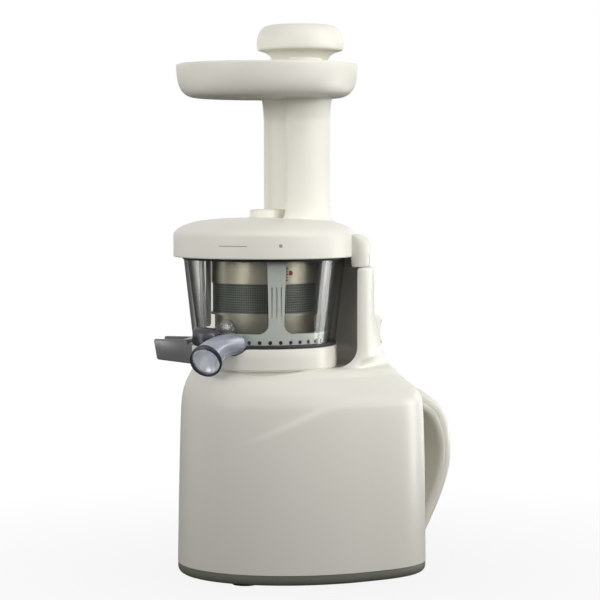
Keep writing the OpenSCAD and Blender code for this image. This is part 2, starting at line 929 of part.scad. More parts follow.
module auger() {
    n = 48;
    levels = 40;
    rings = [
        for (k = [0 : levels])
            let (z = auger_low + (auger_high - auger_low) * k / levels)
            [for (i = [0 : n - 1])
                let (a = 360 * i / n, r = auger_radius(a, z))
                [r * cos(a), r * sin(a), z]]
    ];
    color("silver") place() difference() {
        union() {
            skin(rings);
            rod(16.3, gear_high, auger_low);
            spur_gear(sun_teeth, drum_module, sun_phase, gear_low, gear_high);
            rod(4, auger_high, 258);
        }
        rod(11, 160, 176.5);
        translate([0, 0, 170]) cylinder(r = hex_r + 0.35, h = 24, $fn = 6);
        rod(output_r + slack, 160, 176.5);
    }
}

// ---------------------------------------------------------------- lid and tray

module lid_gasket() {
    color("gray") place() turned([
        [56.2, bowl_top + slack], [59.8, bowl_top + slack], [59.8, bowl_top + 2.4],
        [58.6, bowl_top + 2.8], [57.4, bowl_top + 2.4], [56.2, bowl_top + 2.4]
    ]);
}

module chute_shape(back_r, bite_r) {
    difference() {
        translate([chute_x, 0]) circle(r = back_r, $fn = 96);
        circle(r = bite_r, $fn = 96);
    }
}

module chute_prism(back_r, bite_r, low, high) {
    translate([0, 0, low]) linear_extrude(height = high - low) chute_shape(back_r, bite_r);
}

module lid() {
    lug_low = column_top + slack;
    dome = [
        [61.5, skirt_low], [lid_r, skirt_low], [lid_r, skirt_high - 2], [lid_r - 1.5, skirt_high + 0.6],
        [58, 255.5], [50, 258], [30, 260], [10.5, 260.5], [10.5, 266.5], [6.5, 266.5],
        [6.5, 252], [9.5, 252], [9.5, 257.6], [30, 257.4], [50, 255], [56, 252.4], [60, 249.2],
        [61.5, 247]
    ];
    color("ivory") place() difference() {
        union() {
            turned(dome);
            chute_prism(chute_r, chute_bite, 255, chute_top);
            rotate([0, 0, -column_half_angle])
                rotate_extrude(angle = 2 * column_half_angle, $fn = 128)
                    polygon([
                        [62.5, skirt_low], [66.5, lug_low], [77, lug_low], [77, 243], [75, 246.5],
                        [lid_r - 2, 249]
                    ]);
        }
        chute_prism(chute_r - chute_wall, chute_bite + chute_wall, 240, chute_top + 1);
        // room over the auger and the strainer
        turned([[12, 250], [54, 250], [54, 254], [12, 256.4]]);
        rod(6.5, 240, 264.5);
    }
}

module lid_bush() {
    color("goldenrod") place() tube(6.5, 4.08, 252, 262);
}

sleeve_back = chute_r + 0.35;
sleeve_bite = chute_bite - 0.35;
module tray() {
    tray_x = 2.3;
    color("ivory") place() difference() {
        translate([tray_x, 0, 0]) turned([
            [0, tray_low], [tray_r - 12, tray_low], [tray_r - 6, tray_low + 2.2],
            [tray_r - 2.6, tray_low + 7], [tray_r, tray_top], [tray_r - 2, tray_top + 0.4],
            [tray_r - 3, tray_top - 0.6], [tray_r - 5.2, tray_low + 8],
            [tray_r - 8, tray_low + 4.6], [tray_r - 13, tray_low + 2.8], [0, tray_low + 2.8]
        ]);
        chute_prism(sleeve_back, sleeve_bite, 300, chute_top + 0.4);
        chute_prism(chute_r - chute_wall, chute_bite + chute_wall, 300, 400);
    }
}

// Collar under the tray that slips over the top of the feed chute
module tray_sleeve() {
    color("ivory") place() difference() {
        chute_prism(sleeve_back + 1.3, sleeve_bite - 1.3, 333, tray_low);
        chute_prism(sleeve_back, sleeve_bite, 300, chute_top);
    }
}

module pusher() {
    back = chute_r - chute_wall - 0.7;
    bite = chute_bite + chute_wall + 0.7;
    color("ivory") place() difference() {
        union() {
            chute_prism(back, bite, 266, 378);
            translate([29.4, 0, 0]) turned([
                [0, 372], [19.3, 372], [20.2, 376], [23.5, 381], [28.5, 384], [30.5, 386.5],
                [30.5, 391], [29, 396], [26, 399.6], [22, pusher_top], [0, pusher_top]
            ]);
        }
        chute_prism(back - 2.2, bite + 2.2, 260, 366);
    }
}

body_shell();
column();
drum_seat();
base_pan();
feet();
pan_screws();
handle_inner();
handle_outer();
handle_screws();
switch_bezel();
rocker();
rocker_pin();
switch_block();
cord_gland();
circuit_board();
capacitor();
micro_switch();
lock_plunger();
plunger_spring();
motor_stator();
motor_windings();
motor_top_bracket();
motor_bottom_bracket();
motor_bolts();
motor_bushes();
rotor_core();
rotor_shaft();
cooling_fan();
motor_pinion();
gearbox_housing();
gearbox_cover();
gearbox_screws();
idler_pin();
idler_gear();
output_gear();
drive_shaft();
output_bushes();
shaft_seal();
bowl();
juice_spout();
pulp_spout();
pulp_plug();
bowl_seal();
strainer_frame();
strainer_mesh();
planet_gear_a();
planet_gear_b();
brush_frame();
brush_wipers();
auger();
lid_gasket();
lid();
lid_bush();
tray();
tray_sleeve();
pusher();
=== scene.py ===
"""Cold press juicer: the finished look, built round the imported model.

Front is -X with the two spouts, back is +X with the column, the switch and the handle.
Sizes in the classes are millimetres about the drum's axis; at() turns them into metres in the
frame, whose origin lies 41.1 mm further back.
"""

import logging
import math
from contextlib import contextmanager
from dataclasses import dataclass
from enum import Enum
from typing import Callable, Iterator, Sequence

import bmesh
import bpy
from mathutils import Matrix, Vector


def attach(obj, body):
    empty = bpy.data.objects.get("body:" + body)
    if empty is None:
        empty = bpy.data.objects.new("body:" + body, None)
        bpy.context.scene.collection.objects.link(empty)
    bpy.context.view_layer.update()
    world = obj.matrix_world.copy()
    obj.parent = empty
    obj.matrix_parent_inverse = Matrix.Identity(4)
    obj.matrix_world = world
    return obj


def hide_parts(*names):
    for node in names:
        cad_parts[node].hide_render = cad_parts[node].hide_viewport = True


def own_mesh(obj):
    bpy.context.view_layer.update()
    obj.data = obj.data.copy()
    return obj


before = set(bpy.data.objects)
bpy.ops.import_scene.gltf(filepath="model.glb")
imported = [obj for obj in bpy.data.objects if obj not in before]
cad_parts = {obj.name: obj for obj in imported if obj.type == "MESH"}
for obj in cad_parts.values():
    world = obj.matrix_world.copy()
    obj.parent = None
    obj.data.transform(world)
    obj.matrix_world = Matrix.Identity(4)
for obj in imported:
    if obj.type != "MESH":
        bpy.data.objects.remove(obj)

LOG = logging.getLogger("juicer")
MM = 0.001
DRUM_AXIS_X = -41.1     # where the drum's axis stands in the frame
MOTOR_AXIS_X = 6.05     # where the motor's axis stands in the frame
WAVE_SPACING = 1 / 3.15     # about how far apart a wave texture's bands lie at scale 1
PLASTIC_IOR = 1.5       # how strongly every plastic here bends light
TRIM_GAP = 0.02         # how far a piece stays off the drum's wall

Point = tuple[float, float, float]
Profile = list[tuple[float, float]]
Table = Sequence[tuple[float, float]]


# ---------------------------------------------------------------- places and curves

def at(x: float, y: float, z: float) -> Vector:
    """Turns a place about the drum's axis into the frame.

    Args:
        x: Millimetres behind the drum's axis.
        y: Millimetres to the side of it.
        z: Millimetres above the table.

    Returns:
        The same place in the frame, in metres.
    """
    return Vector(((x + DRUM_AXIS_X) * MM, y * MM, z * MM))


def around(radius: float, degrees: float, z: float) -> Point:
    """Returns the place at a radius and direction round the drum's axis."""
    a = math.radians(degrees)
    return radius * math.cos(a), radius * math.sin(a), z


def outward(rho: float, aside: float, z: float, degrees: float) -> Point:
    """Finds a place by its distance along a direction from the drum's axis.

    Args:
        rho: How far along the direction.
        aside: How far to the left of it.
        z: The height.
        degrees: The direction.

    Returns:
        The place, in millimetres about the drum's axis.
    """
    a = math.radians(degrees)
    return (rho * math.cos(a) - aside * math.sin(a),
            rho * math.sin(a) + aside * math.cos(a), z)


def ease(value: float, low: float, high: float) -> float:
    """Returns 0 below low, 1 above high and a smooth rise between them."""
    t = min(1.0, max(0.0, (value - low) / (high - low)))
    return t * t * (3 - 2 * t)


def along(table: Table, key: float) -> float:
    """Reads a smooth curve through a table.

    Args:
        table: Rows of (key, value) with rising keys.
        key: Where to read it.

    Returns:
        The value there, held at its end values outside the table.
    """
    keys = [k for k, _ in table]
    if key <= keys[0]:
        return table[0][1]
    if key >= keys[-1]:
        return table[-1][1]
    i = max(j for j, k in enumerate(keys) if k <= key)
    (k0, v0), (k1, v1) = table[i], table[i + 1]
    rise = (v1 - v0) / (k1 - k0)

    def slope(j: int) -> float:
        """Works out the curve's slope at a row, flat where it would overshoot.

        Args:
            j: The row.

        Returns:
            The slope there.
        """
        if j in (0, len(table) - 1):
            return rise
        before = (table[j][1] - table[j - 1][1]) / (table[j][0] - table[j - 1][0])
        after = (table[j + 1][1] - table[j][1]) / (table[j + 1][0] - table[j][0])
        return 0.0 if before * after <= 0 else 2 * before * after / (before + after)

    h = k1 - k0
    t = (key - k0) / h
    return ((1 + 2 * t) * (1 - t) ** 2 * v0 + t * (1 - t) ** 2 * h * slope(i)
            + t * t * (3 - 2 * t) * v1 + t * t * (t - 1) * h * slope(i + 1))


def curve(points: Sequence[Sequence[float]], steps: int = 4) -> list[tuple[float, ...]]:
    """Draws a smooth line through given points.

    Args:
        points: The places that the line goes through.
        steps: Pieces between each two of them.

    Returns:
        The points of the smooth line, both ends included.
    """
    out: list[tuple[float, ...]] = []
    for i in range(len(points) - 1):
        a, b = points[max(0, i - 1)], points[i]
        c, d = points[i + 1], points[min(len(points) - 1, i + 2)]
        for s in range(steps):
            t = s / steps
            out.append(tuple(
                0.5 * (2 * q + (r - p) * t + (2 * p - 5 * q + 4 * r - w) * t * t
                       + (3 * q - p - 3 * r + w) * t ** 3)
                for p, q, r, w in zip(a, b, c, d)))
    out.append(tuple(points[-1]))
    return out


def rounded_box(half_w: float, low: float, high: float, radius: float, steps: int = 5) -> Profile:
    """Draws a rectangle with round corners.

    Args:
        half_w: Half of its width.
        low: Its lower edge.
        high: Its upper edge.
        radius: The corners' radius.
        steps: Pieces in each corner.

    Returns:
        The outline, as (aside, height) pairs.
    """
    corners = [(half_w - radius, high - radius, 0), (radius - half_w, high - radius, 90),
               (radius - half_w, low + radius, 180), (half_w - radius, low + radius, 270)]
    return [(cx + radius * math.cos(math.radians(a + 90 * s / steps)),
             cz + radius * math.sin(math.radians(a + 90 * s / steps)))
            for cx, cz, a in corners for s in range(steps + 1)]


# ---------------------------------------------------------------- workbench

def focus(obj: bpy.types.Object) -> None:
    """Leaves only one object selected and active, in object mode.

    Args:
        obj: The object.
    """
    if bpy.context.object and bpy.context.object.mode != "OBJECT":
        bpy.ops.object.mode_set(mode="OBJECT")
    bpy.ops.object.select_all(action="DESELECT")
    obj.select_set(True)
    bpy.context.view_layer.objects.active = obj


@contextmanager
def editing(obj: bpy.types.Object) -> Iterator[bmesh.types.BMesh]:
    """Opens an object in edit mode with nothing selected, and closes it again.

    Args:
        obj: The object.

    Yields:
        Its edit mesh.
    """
    focus(obj)
    bpy.ops.object.mode_set(mode="EDIT")
    bpy.ops.mesh.select_all(action="DESELECT")
    yield bmesh.from_edit_mesh(obj.data)
    bmesh.update_edit_mesh(obj.data)
    bpy.ops.object.mode_set(mode="OBJECT")


def ring_start(name: str, points: Sequence[Vector], filled: bool) -> bpy.types.Object:
    """Adds a circle and sets its points on an outline.

    Args:
        name: The new object's name.
        points: The outline, in the frame.
        filled: True to close it with a face.

    Returns:
        The new object, at the origin.
    """
    bpy.ops.object.select_all(action="DESELECT")
    bpy.ops.mesh.primitive_circle_add(
        vertices=len(points), radius=MM, fill_type="NGON" if filled else "NOTHING")
    obj = bpy.context.active_object
    obj.name = obj.data.name = name
    for vert, place in zip(obj.data.vertices, points):
        vert.co = place
    return obj


def tidy(obj: bpy.types.Object, gap: float = 1e-6) -> None:
    """Merges doubled points, drops faces without area and turns all normals outwards.

    Args:
        obj: The piece.
        gap: Points closer than this many metres are merged.
    """
    with editing(obj):
        bpy.ops.mesh.select_all(action="SELECT")
        bpy.ops.mesh.remove_doubles(threshold=gap)
        bpy.ops.mesh.dissolve_degenerate(threshold=gap)
        bpy.ops.mesh.select_all(action="SELECT")
        bpy.ops.mesh.normals_make_consistent(inside=False)


def loft(name: str, rings: Sequence[Sequence[Point]], closed: bool = True) -> bpy.types.Object:
    """Extrudes an outline through a stack of outlines with the same number of points.

    Args:
        name: The new object's name.
        rings: The outlines, in millimetres about the drum's axis.
        closed: True to close both ends.

    Returns:
        The skin over all of them.
    """
    obj = ring_start(name, [at(*p) for p in rings[0]], closed)
    with editing(obj) as bm:
        order = list(range(len(rings[0])))
        for points in rings[1:]:
            bm.verts.ensure_lookup_table()
            bpy.ops.mesh.select_all(action="DESELECT")
            old = [bm.verts[i] for i in order]
            for a, b in zip(old, old[1:] + old[:1]):
                bm.edges.get((a, b)).select_set(True)
            bpy.ops.mesh.extrude_edges_move()
            bm = bmesh.from_edit_mesh(obj.data)
            bm.verts.ensure_lookup_table()
            bm.verts.index_update()
            order = [next(e.other_vert(bm.verts[i]).index for e in bm.verts[i].link_edges
                          if e.other_vert(bm.verts[i]).select) for i in order]
            for i, place in zip(order, points):
                bm.verts[i].co = at(*place)
        if closed:
            bpy.ops.mesh.edge_face_add()
        bpy.ops.mesh.select_all(action="SELECT")
        bpy.ops.mesh.normals_make_consistent(inside=False)
    return obj


def turned(name: str, profile: Profile, steps: int = 128, solid: bool = False,
           origin: Point = (0, 0, 0), axis: Vector = Vector((0, 0, 1)),
           start: float = 0, sweep: float = 360) -> bpy.types.Object:
    """Spins a profile round an axis, as on a lathe.

    Args:
        name: The new object's name.
        profile: (radius, height along the axis) pairs.
        steps: Pieces in the whole sweep.
        solid: True if the profile's two ends lie on the axis, so that it isn't closed.
        origin: A place on the axis, about the drum's axis.
        axis: The axis, of length one.
        start: The direction in which the profile is drawn, for an upright axis.
        sweep: How far it is spun, in degrees.

    Returns:
        The turned piece.
    """
    a = math.radians(start)
    side = Vector((math.cos(a), math.sin(a), 0))
    side = (side - axis * side.dot(axis)).normalized()
    foot = Vector(origin)
    places = [at(*(foot + axis * h + side * r)) for r, h in profile]
    obj = ring_start(name, places, False)
    n = len(profile)
    with editing(obj) as bm:
        bm.verts.ensure_lookup_table()
        if solid:
            bm.edges.get((bm.verts[0], bm.verts[n - 1])).select_set(True)
            bpy.ops.mesh.delete(type="EDGE")
        bpy.ops.mesh.select_all(action="SELECT")
        bpy.ops.mesh.spin(steps=steps, angle=-math.radians(sweep), center=at(*origin), axis=axis)
        if sweep < 360:
            bpy.ops.mesh.edge_face_add()
            bm = bmesh.from_edit_mesh(obj.data)
            bm.verts.ensure_lookup_table()
            bpy.ops.mesh.select_all(action="DESELECT")
            first = bm.verts[:n]
            for u, v in zip(first, first[1:] + first[:1]):
                bm.edges.get((u, v)).select_set(True)
            bpy.ops.mesh.edge_face_add()
    tidy(obj)
    return obj


def rod(name: str, radius: float, foot: Point, top: Point, steps: int = 48) -> bpy.types.Object:
    """Builds a straight round bar.

    Args:
        name: The new object's name.
        radius: Its radius.
        foot: The middle of one end.
        top: The middle of the other end.
        steps: Sides.

    Returns:
        The bar.
    """
    axis = Vector(top) - Vector(foot)
    unit = axis.normalized()
    side = unit.orthogonal().normalized()
    other = unit.cross(side)
    spokes = [side * math.cos(2 * math.pi * k / steps) + other * math.sin(2 * math.pi * k / steps)
              for k in range(steps)]
    return loft(name, [[tuple(Vector(end) + s * radius) for s in spokes] for end in (foot, top)])


def block(name: str, low: Point, high: Point) -> bpy.types.Object:
    """Returns a square bar between its lowest and highest corners, a cutter for slots."""
    flat = [(low[0], low[1]), (high[0], low[1]), (high[0], high[1]), (low[0], high[1])]
    return loft(name, [[(x, y, z) for x, y in flat] for z in (low[2], high[2])])


def spoke(name: str, reach: tuple[float, float], half: float, heights: tuple[float, float],
          degrees: float) -> bpy.types.Object:
    """Builds a square bar that points away from the drum's axis.

    Args:
        name: The new object's name.
        reach: Where it starts and ends, from the axis.
        half: Half of its width.
        heights: Its underside and its top.
        degrees: Its direction.

    Returns:
        The bar.
    """
    near, far = reach
    corners = ((near, -half), (far, -half), (far, half), (near, half))
    return loft(name, [[outward(rho, aside, z, degrees) for rho, aside in corners]
                       for z in heights])


def punch(name: str, outline: Profile, reach: tuple[float, float], degrees: float,
          aside: float = 0) -> bpy.types.Object:
    """Extrudes an outline away from the drum's axis, as a cutter for windows and grooves.

    Args:
        name: The new object's name.
        outline: Its section, as (aside, height) pairs.
        reach: Where it starts and ends, from the axis.
        degrees: Its direction.
        aside: How far it is moved to the side.

    Returns:
        The cutter.
    """
    return loft(name, [[outward(rho, aside + t, z, degrees) for t, z in outline] for rho in reach])


def apply(obj: bpy.types.Object, kind: str, **settings: object) -> None:
    """Adds a modifier, sets it and applies it.

    Args:
        obj: The piece.
        kind: The modifier's type.
        **settings: Its attributes.
    """
    focus(obj)
    modifier = obj.modifiers.new(kind, kind)
    for key, value in settings.items():
        setattr(modifier, key, value)
    bpy.ops.object.modifier_apply(modifier=modifier.name)


class Join(Enum):
    """The ways in which two solids are put together."""

    ADD = "UNION"
    CUT = "DIFFERENCE"


def combine(obj: bpy.types.Object, others: Sequence[bpy.types.Object], how: Join) -> None:
    """Joins or cuts a solid with others, and removes those.

    Args:
        obj: The solid that stays.
        others: The solids that are used up.
        how: Whether they are added or cut away.
    """
    for other in others:
        apply(obj, "BOOLEAN", object=other, operation=how.value, solver="EXACT")
        bpy.data.objects.remove(other)


def twin(obj: bpy.types.Object, name: str) -> bpy.types.Object:
    """Copies an object together with its mesh.

    Args:
        obj: The object.
        name: The copy's name.

    Returns:
        The copy.
    """
    copy = obj.copy()
    copy.data = obj.data.copy()
    copy.name = copy.data.name = name
    bpy.context.scene.collection.objects.link(copy)
    return copy


def ring_of(obj: bpy.types.Object, count: int) -> list[bpy.types.Object]:
    """Copies a piece round the drum's axis, each copy with its own mesh.

    Args:
        obj: The first piece.
        count: How many there are all round.

    Returns:
        The first piece and its copies.
    """
    pieces = [obj]
    for k in range(1, count):
        copy = twin(obj, obj.name)
        with editing(copy):
            bpy.ops.mesh.select_all(action="SELECT")
            bpy.ops.transform.rotate(value=-2 * math.pi * k / count, orient_axis="Z",
                                     orient_type="GLOBAL", center_override=at(0, 0, 0))
        pieces.append(copy)
    return pieces


def gather(pieces: Sequence[bpy.types.Object]) -> bpy.types.Object:
    """Makes one object of several loose ones.

    Args:
        pieces: The objects, of which the first stays.

    Returns:
        The first object, which now holds all their meshes.
    """
    focus(pieces[0])
    for piece in pieces:
        piece.select_set(True)
    bpy.ops.object.join()
    return pieces[0]


def round_edges(obj: bpy.types.Object, width: float, segments: int = 3, angle: float = 35) -> None:
    """Rounds every edge that is sharper than an angle, by a width in millimetres."""
    apply(obj, "BEVEL", width=width * MM, segments=segments, limit_method="ANGLE",
          angle_limit=math.radians(angle), use_clamp_overlap=True, harden_normals=False)


def round_chosen(obj: bpy.types.Object, chosen: Callable[[bmesh.types.BMEdge], bool],
                 width: float, segments: int) -> None:
    """Rounds the edges that a test picks out.

    Args:
        obj: The piece.
        chosen: Says whether an edge is rounded.
        width: The rounding's width in millimetres.
        segments: Faces across the rounding.
    """
    with editing(obj) as bm:
        bpy.ops.mesh.select_mode(type="EDGE")
        for edge in bm.edges:
            edge.select_set(chosen(edge))
        bpy.ops.mesh.bevel(offset=width * MM, segments=segments, affect="EDGES", clamp_overlap=True)
        bpy.ops.mesh.select_mode(type="VERT")


def patch(name: str, radius: float, degrees: float, z: float, half_w: float, half_h: float,
          thick: float, round_one: bool = False) -> bpy.types.Object:
    """Lays a thin printed mark on a round wall.

    Args:
        name: The mark's name.
        radius: The wall's radius.
        degrees: The mark's direction from the drum's axis.
        z: Its height.
        half_w: Half of its width, along the wall.
        half_h: Half of its height.
        thick: How far it stands out.
        round_one: True for a round mark, False for one with round corners.

    Returns:
        The mark.
    """
    if round_one:
        outline = [(half_w * math.cos(math.radians(a)), z + half_h * math.sin(math.radians(a)))
                   for a in range(0, 360, 15)]
    else:
        outline = rounded_box(half_w, z - half_h, z + half_h, min(half_w, half_h) * 0.8, 3)
    rings = []
    for rho, scale in ((radius - 0.05, 1.0), (radius + thick * 0.7, 1.0), (radius + thick, 0.9)):
        rings.append([around(rho, degrees + math.degrees(t * scale / radius), z + (h - z) * scale)
                      for t, h in outline])
    return loft(name, rings)


# ---------------------------------------------------------------- finishes

def linear(code: str) -> tuple[float, float, float, float]:
    """Turns an sRGB hex code into Blender's linear colour."""
    parts = [int(code[i:i + 2], 16) / 255 for i in (1, 3, 5)]
    return (*[p / 12.92 if p <= 0.04045 else ((p + 0.055) / 1.055) ** 2.4 for p in parts], 1.0)


def per_mm(size: float) -> float:
    """Returns the texture scale whose pattern repeats at a size in millimetres."""
    return 1 / (size * MM)


def add_node(tree: bpy.types.NodeTree, kind: str, settings: dict[str, object] | None = None,
             **sockets: object) -> bpy.types.Node:
    """Adds one node with its settings, values and links.

    Args:
        tree: The node tree.
        kind: The node's type, without the ShaderNode in front.
        settings: Attributes of the node.
        **sockets: Values or output sockets for its inputs, named as the inputs are with
            underscores for spaces, or in0, in1 and so on by number.

    Returns:
        The new node.
    """
    made = tree.nodes.new("ShaderNode" + kind)
    for key, value in (settings or {}).items():
        setattr(made, key, value)
    for key, value in sockets.items():
        by_number = key[:2] == "in" and key[2:].isdigit()
        socket = made.inputs[int(key[2:]) if by_number else key.replace("_", " ")]
        if isinstance(value, bpy.types.NodeSocket):
            tree.links.new(value, socket)
        else:
            socket.default_value = value
    return made


def maths(tree: bpy.types.NodeTree, operation: str, first: object,
          second: object) -> bpy.types.NodeSocket:
    """Returns what a Math node makes of two values or output sockets."""
    return add_node(tree, "Math", {"operation": operation}, in0=first, in1=second).outputs[0]


@dataclass
class Paint:
    """A material in the making: its nodes, its main shader and the places that they read."""

    tree: bpy.types.NodeTree
    shader: bpy.types.Node
    place: bpy.types.NodeSocket     # object coordinates, in metres

    def set_inputs(self, **inputs: object) -> None:
        """Sets inputs of the main shader, named with underscores for spaces."""
        for key, value in inputs.items():
            self.shader.inputs[key.replace("_", " ")].default_value = value

    def clouds(self, size: float, low: float, high: float,
               detail: float = 3) -> bpy.types.NodeSocket:
        """Adds soft noise.

        Args:
            size: How far apart its clouds lie, in millimetres.
            low: Its lowest value.
            high: Its highest value.
            detail: How finely it is broken up.

        Returns:
            The noise.
        """
        noise = add_node(self.tree, "TexNoise", Vector=self.place, Scale=per_mm(size),
                         Detail=detail)
        return add_node(self.tree, "MapRange", {"interpolation_type": "SMOOTHSTEP"},
                        Value=noise.outputs["Fac"], From_Min=0.15, From_Max=0.85,
                        To_Min=low, To_Max=high).outputs["Result"]

    def tint(self, pattern: bpy.types.NodeSocket, one: str, other: str) -> None:
        """Mixes two colours.

        Args:
            pattern: Where the second colour shows, from 0 to 1.
            one: The first colour.
            other: The second colour.
        """
        mix = add_node(self.tree, "Mix", {"data_type": "RGBA"}, in0=pattern, in6=linear(one),
                       in7=linear(other))
        self.tree.links.new(mix.outputs[2], self.shader.inputs["Base Color"])

    def gloss(self, pattern: bpy.types.NodeSocket) -> None:
        """Lets a pattern set how rough the surface is."""
        self.tree.links.new(pattern, self.shader.inputs["Roughness"])

    def bump(self, pattern: bpy.types.NodeSocket, depth: float) -> None:
        """Raises the surface by a pattern, up to a depth in millimetres."""
        made = add_node(self.tree, "Bump", Height=pattern, Strength=1.0, Distance=depth * MM)
        self.tree.links.new(made.outputs["Normal"], self.shader.inputs["Normal"])


@dataclass(frozen=True)
class Finish:
    """What every finish shares: its name, colour, how rough it is and how it is started."""

    name: str
    colour: str
    rough: float = 0.4

    def material(self) -> bpy.types.Material:
        """Makes the finish's material, once.

        Returns:
            The material.
        """
        known = bpy.data.materials.get(self.name)
        if known:
            return known
        made = bpy.data.materials.new(self.name)
        made.use_nodes = True
        tree = made.node_tree
        place = add_node(tree, "TexCoord").outputs["Object"]
        paint = Paint(tree, tree.nodes["Principled BSDF"], place)
        paint.set_inputs(Base_Color=linear(self.colour), Roughness=self.rough)
        self.dress(paint)
        return made

    def dress(self, paint: Paint) -> None:
        """Adds the finish's own nodes to the material's."""


@dataclass(frozen=True)
class MouldedPlastic(Finish):
    """Injection-moulded plastic: even colour, with the faint waviness and grain of its mould."""

    second: str = "#FFFFFF"     # tone that the colour drifts to over a hand's breadth
    grain: float = 1.6          # size of the mould's texture in millimetres
    depth: float = 0.006        # its depth in millimetres
    drift: float = 90.0         # how far apart the drifting tones lie
    rough_drift: float = 40.0   # how far apart glossier and duller places lie
    rough_range: float = 0.05   # how much the gloss varies
    shine: float = 0.4          # how strongly it mirrors

    def dress(self, paint: Paint) -> None:
        """Adds drifting tone, uneven gloss and fine grain.

        Args:
            paint: The material's nodes.
        """
        paint.tint(paint.clouds(self.drift, 0, 1, 1), self.colour, self.second)
        paint.gloss(paint.clouds(self.rough_drift, self.rough - self.rough_range,
                                 self.rough + self.rough_range, 1))
        grain = add_node(paint.tree, "TexNoise", Vector=paint.place, Scale=per_mm(self.grain),
                         Detail=2)
        paint.bump(grain.outputs["Fac"], self.depth)
        paint.set_inputs(IOR=PLASTIC_IOR, Specular_IOR_Level=self.shine)


@dataclass(frozen=True)
class ClearPlastic(Finish):
    """Moulded clear copolyester: lets most light through, darker where it is seen edge on."""

    through: str = "#FAFAF8"    # what one face lets through
    face_on: float = 0.04       # share of the tinted shader seen straight on
    edge_on: float = 0.85       # and seen along the surface
    turn: tuple[float, float] = (0.42, 0.85)     # where it changes from one to the other
    shine: float = 0.3          # how strongly it mirrors
    shadow: float = 0.3         # how much of it counts where it stands before a lamp
    gleam: float = 0.03         # share of plain reflection on top
    ripple: float = 30.0        # how far apart the soft waves in it lie
    depth: float = 0.02         # their depth in millimetres

    def dress(self, paint: Paint) -> None:
        """Mixes the tinted glossy shader with a see-through one.

        Args:
            paint: The material's nodes.
        """
        tree = paint.tree
        paint.set_inputs(IOR=PLASTIC_IOR, Specular_IOR_Level=self.shine)
        ripple = add_node(tree, "TexNoise", Vector=paint.place, Scale=per_mm(self.ripple),
                          Detail=1)
        paint.bump(ripple.outputs["Fac"], self.depth)
        facing = add_node(tree, "LayerWeight", Blend=0.5).outputs["Facing"]
        share = add_node(tree, "MapRange", {"interpolation_type": "SMOOTHSTEP"}, Value=facing,
                         From_Min=self.turn[0], From_Max=self.turn[1],
                         To_Min=self.face_on, To_Max=self.edge_on).outputs["Result"]
        # lamps shine through it more than it lets see through
        shade = add_node(tree, "LightPath").outputs["Is Shadow Ray"]
        shade = add_node(tree, "MapRange", Value=shade, To_Min=1.0, To_Max=self.shadow)
        share = maths(tree, "MULTIPLY", share, shade.outputs["Result"])
        clear = add_node(tree, "BsdfTransparent", Color=linear(self.through))
        mix = add_node(tree, "MixShader", in0=share, in1=clear.outputs[0],
                       in2=paint.shader.outputs[0])
        gleam = add_node(tree, "BsdfGlossy", Color=(1, 1, 1, 1), Roughness=self.rough)
        both = add_node(tree, "MixShader", in0=self.gleam, in1=mix.outputs[0],
                        in2=gleam.outputs[0])
        tree.links.new(both.outputs[0], tree.nodes["Material Output"].inputs["Surface"])


@dataclass(frozen=True)
class WorkedMetal(Finish):
    """Rolled or turned metal: fine lines round the drum's axis and uneven gloss."""

    second: str = "#FFFFFF"
    line: float = 0.5       # spacing of the tool's lines in millimetres
    stretch: float = 50.0   # how many times longer than wide the lines are
    depth: float = 0.004
    drift: float = 9.0      # how far apart the two tones lie
    rough_range: tuple[float, float] = (-0.06, 0.08)    # how much the gloss varies

    def dress(self, paint: Paint) -> None:
        """Adds lines that run round the piece, drawn by noise that is stretched sideways.

        Args:
            paint: The material's nodes.
        """
        paint.set_inputs(Metallic=1.0)
        squeezed = add_node(paint.tree, "Mapping", Vector=paint.place,
                            Scale=(1 / self.stretch, 1 / self.stretch, 1.0))
        lines = add_node(paint.tree, "TexNoise", Vector=squeezed.outputs[0],
                         Scale=per_mm(self.line), Detail=3).outputs["Fac"]
        paint.tint(paint.clouds(self.drift, 0, 1), self.colour, self.second)
        smoother, rougher = self.rough_range
        paint.gloss(add_node(paint.tree, "MapRange", Value=lines, From_Min=0.3, From_Max=0.7,
                             To_Min=self.rough + smoother,
                             To_Max=self.rough + rougher).outputs["Result"])
        paint.bump(lines, self.depth)


@dataclass(frozen=True)
class PerforatedMetal(Finish):
    """Perforated stainless steel, dark: rows of round holes round the drum's axis, painted as dark
    dots of shade.
    """

    # colour of the holes: painted shade for the dark inside seen through them
    hole: str = "#151715"
    pitch: float = 1.7      # spacing of the holes; the real 0.8 mm is too fine to show
    radius: float = 37.5
    rim: tuple[float, float] = (0.24, 0.36)     # a hole's soft edge, as shares of the pitch
    depth: float = 0.12

    def dress(self, paint: Paint) -> None:
        """Draws rows of dots on the unrolled wall, by the angle round the axis and height.

        Args:
            paint: The material's nodes.
        """
        tree = paint.tree
        paint.set_inputs(Metallic=0.75)
        x, y, z = add_node(tree, "SeparateXYZ", Vector=paint.place).outputs
        angle = maths(tree, "ARCTAN2", y, maths(tree, "SUBTRACT", x, DRUM_AXIS_X * MM))
        holes_round = round(2 * math.pi * self.radius / self.pitch)
        cell = add_node(tree, "CombineXYZ",
                        X=maths(tree, "MULTIPLY", angle, holes_round / (2 * math.pi)),
                        Y=maths(tree, "MULTIPLY", z, per_mm(self.pitch)))
        dots = add_node(tree, "TexVoronoi", {"voronoi_dimensions": "2D"}, Vector=cell.outputs[0],
                        Scale=1.0, Randomness=0.0)
        holes = add_node(tree, "MapRange", Value=dots.outputs["Distance"], From_Min=self.rim[0],
                         From_Max=self.rim[1], To_Min=1.0, To_Max=0.0).outputs["Result"]
        paint.tint(holes, self.colour, self.hole)
        paint.bump(maths(tree, "SUBTRACT", 1.0, holes), self.depth)


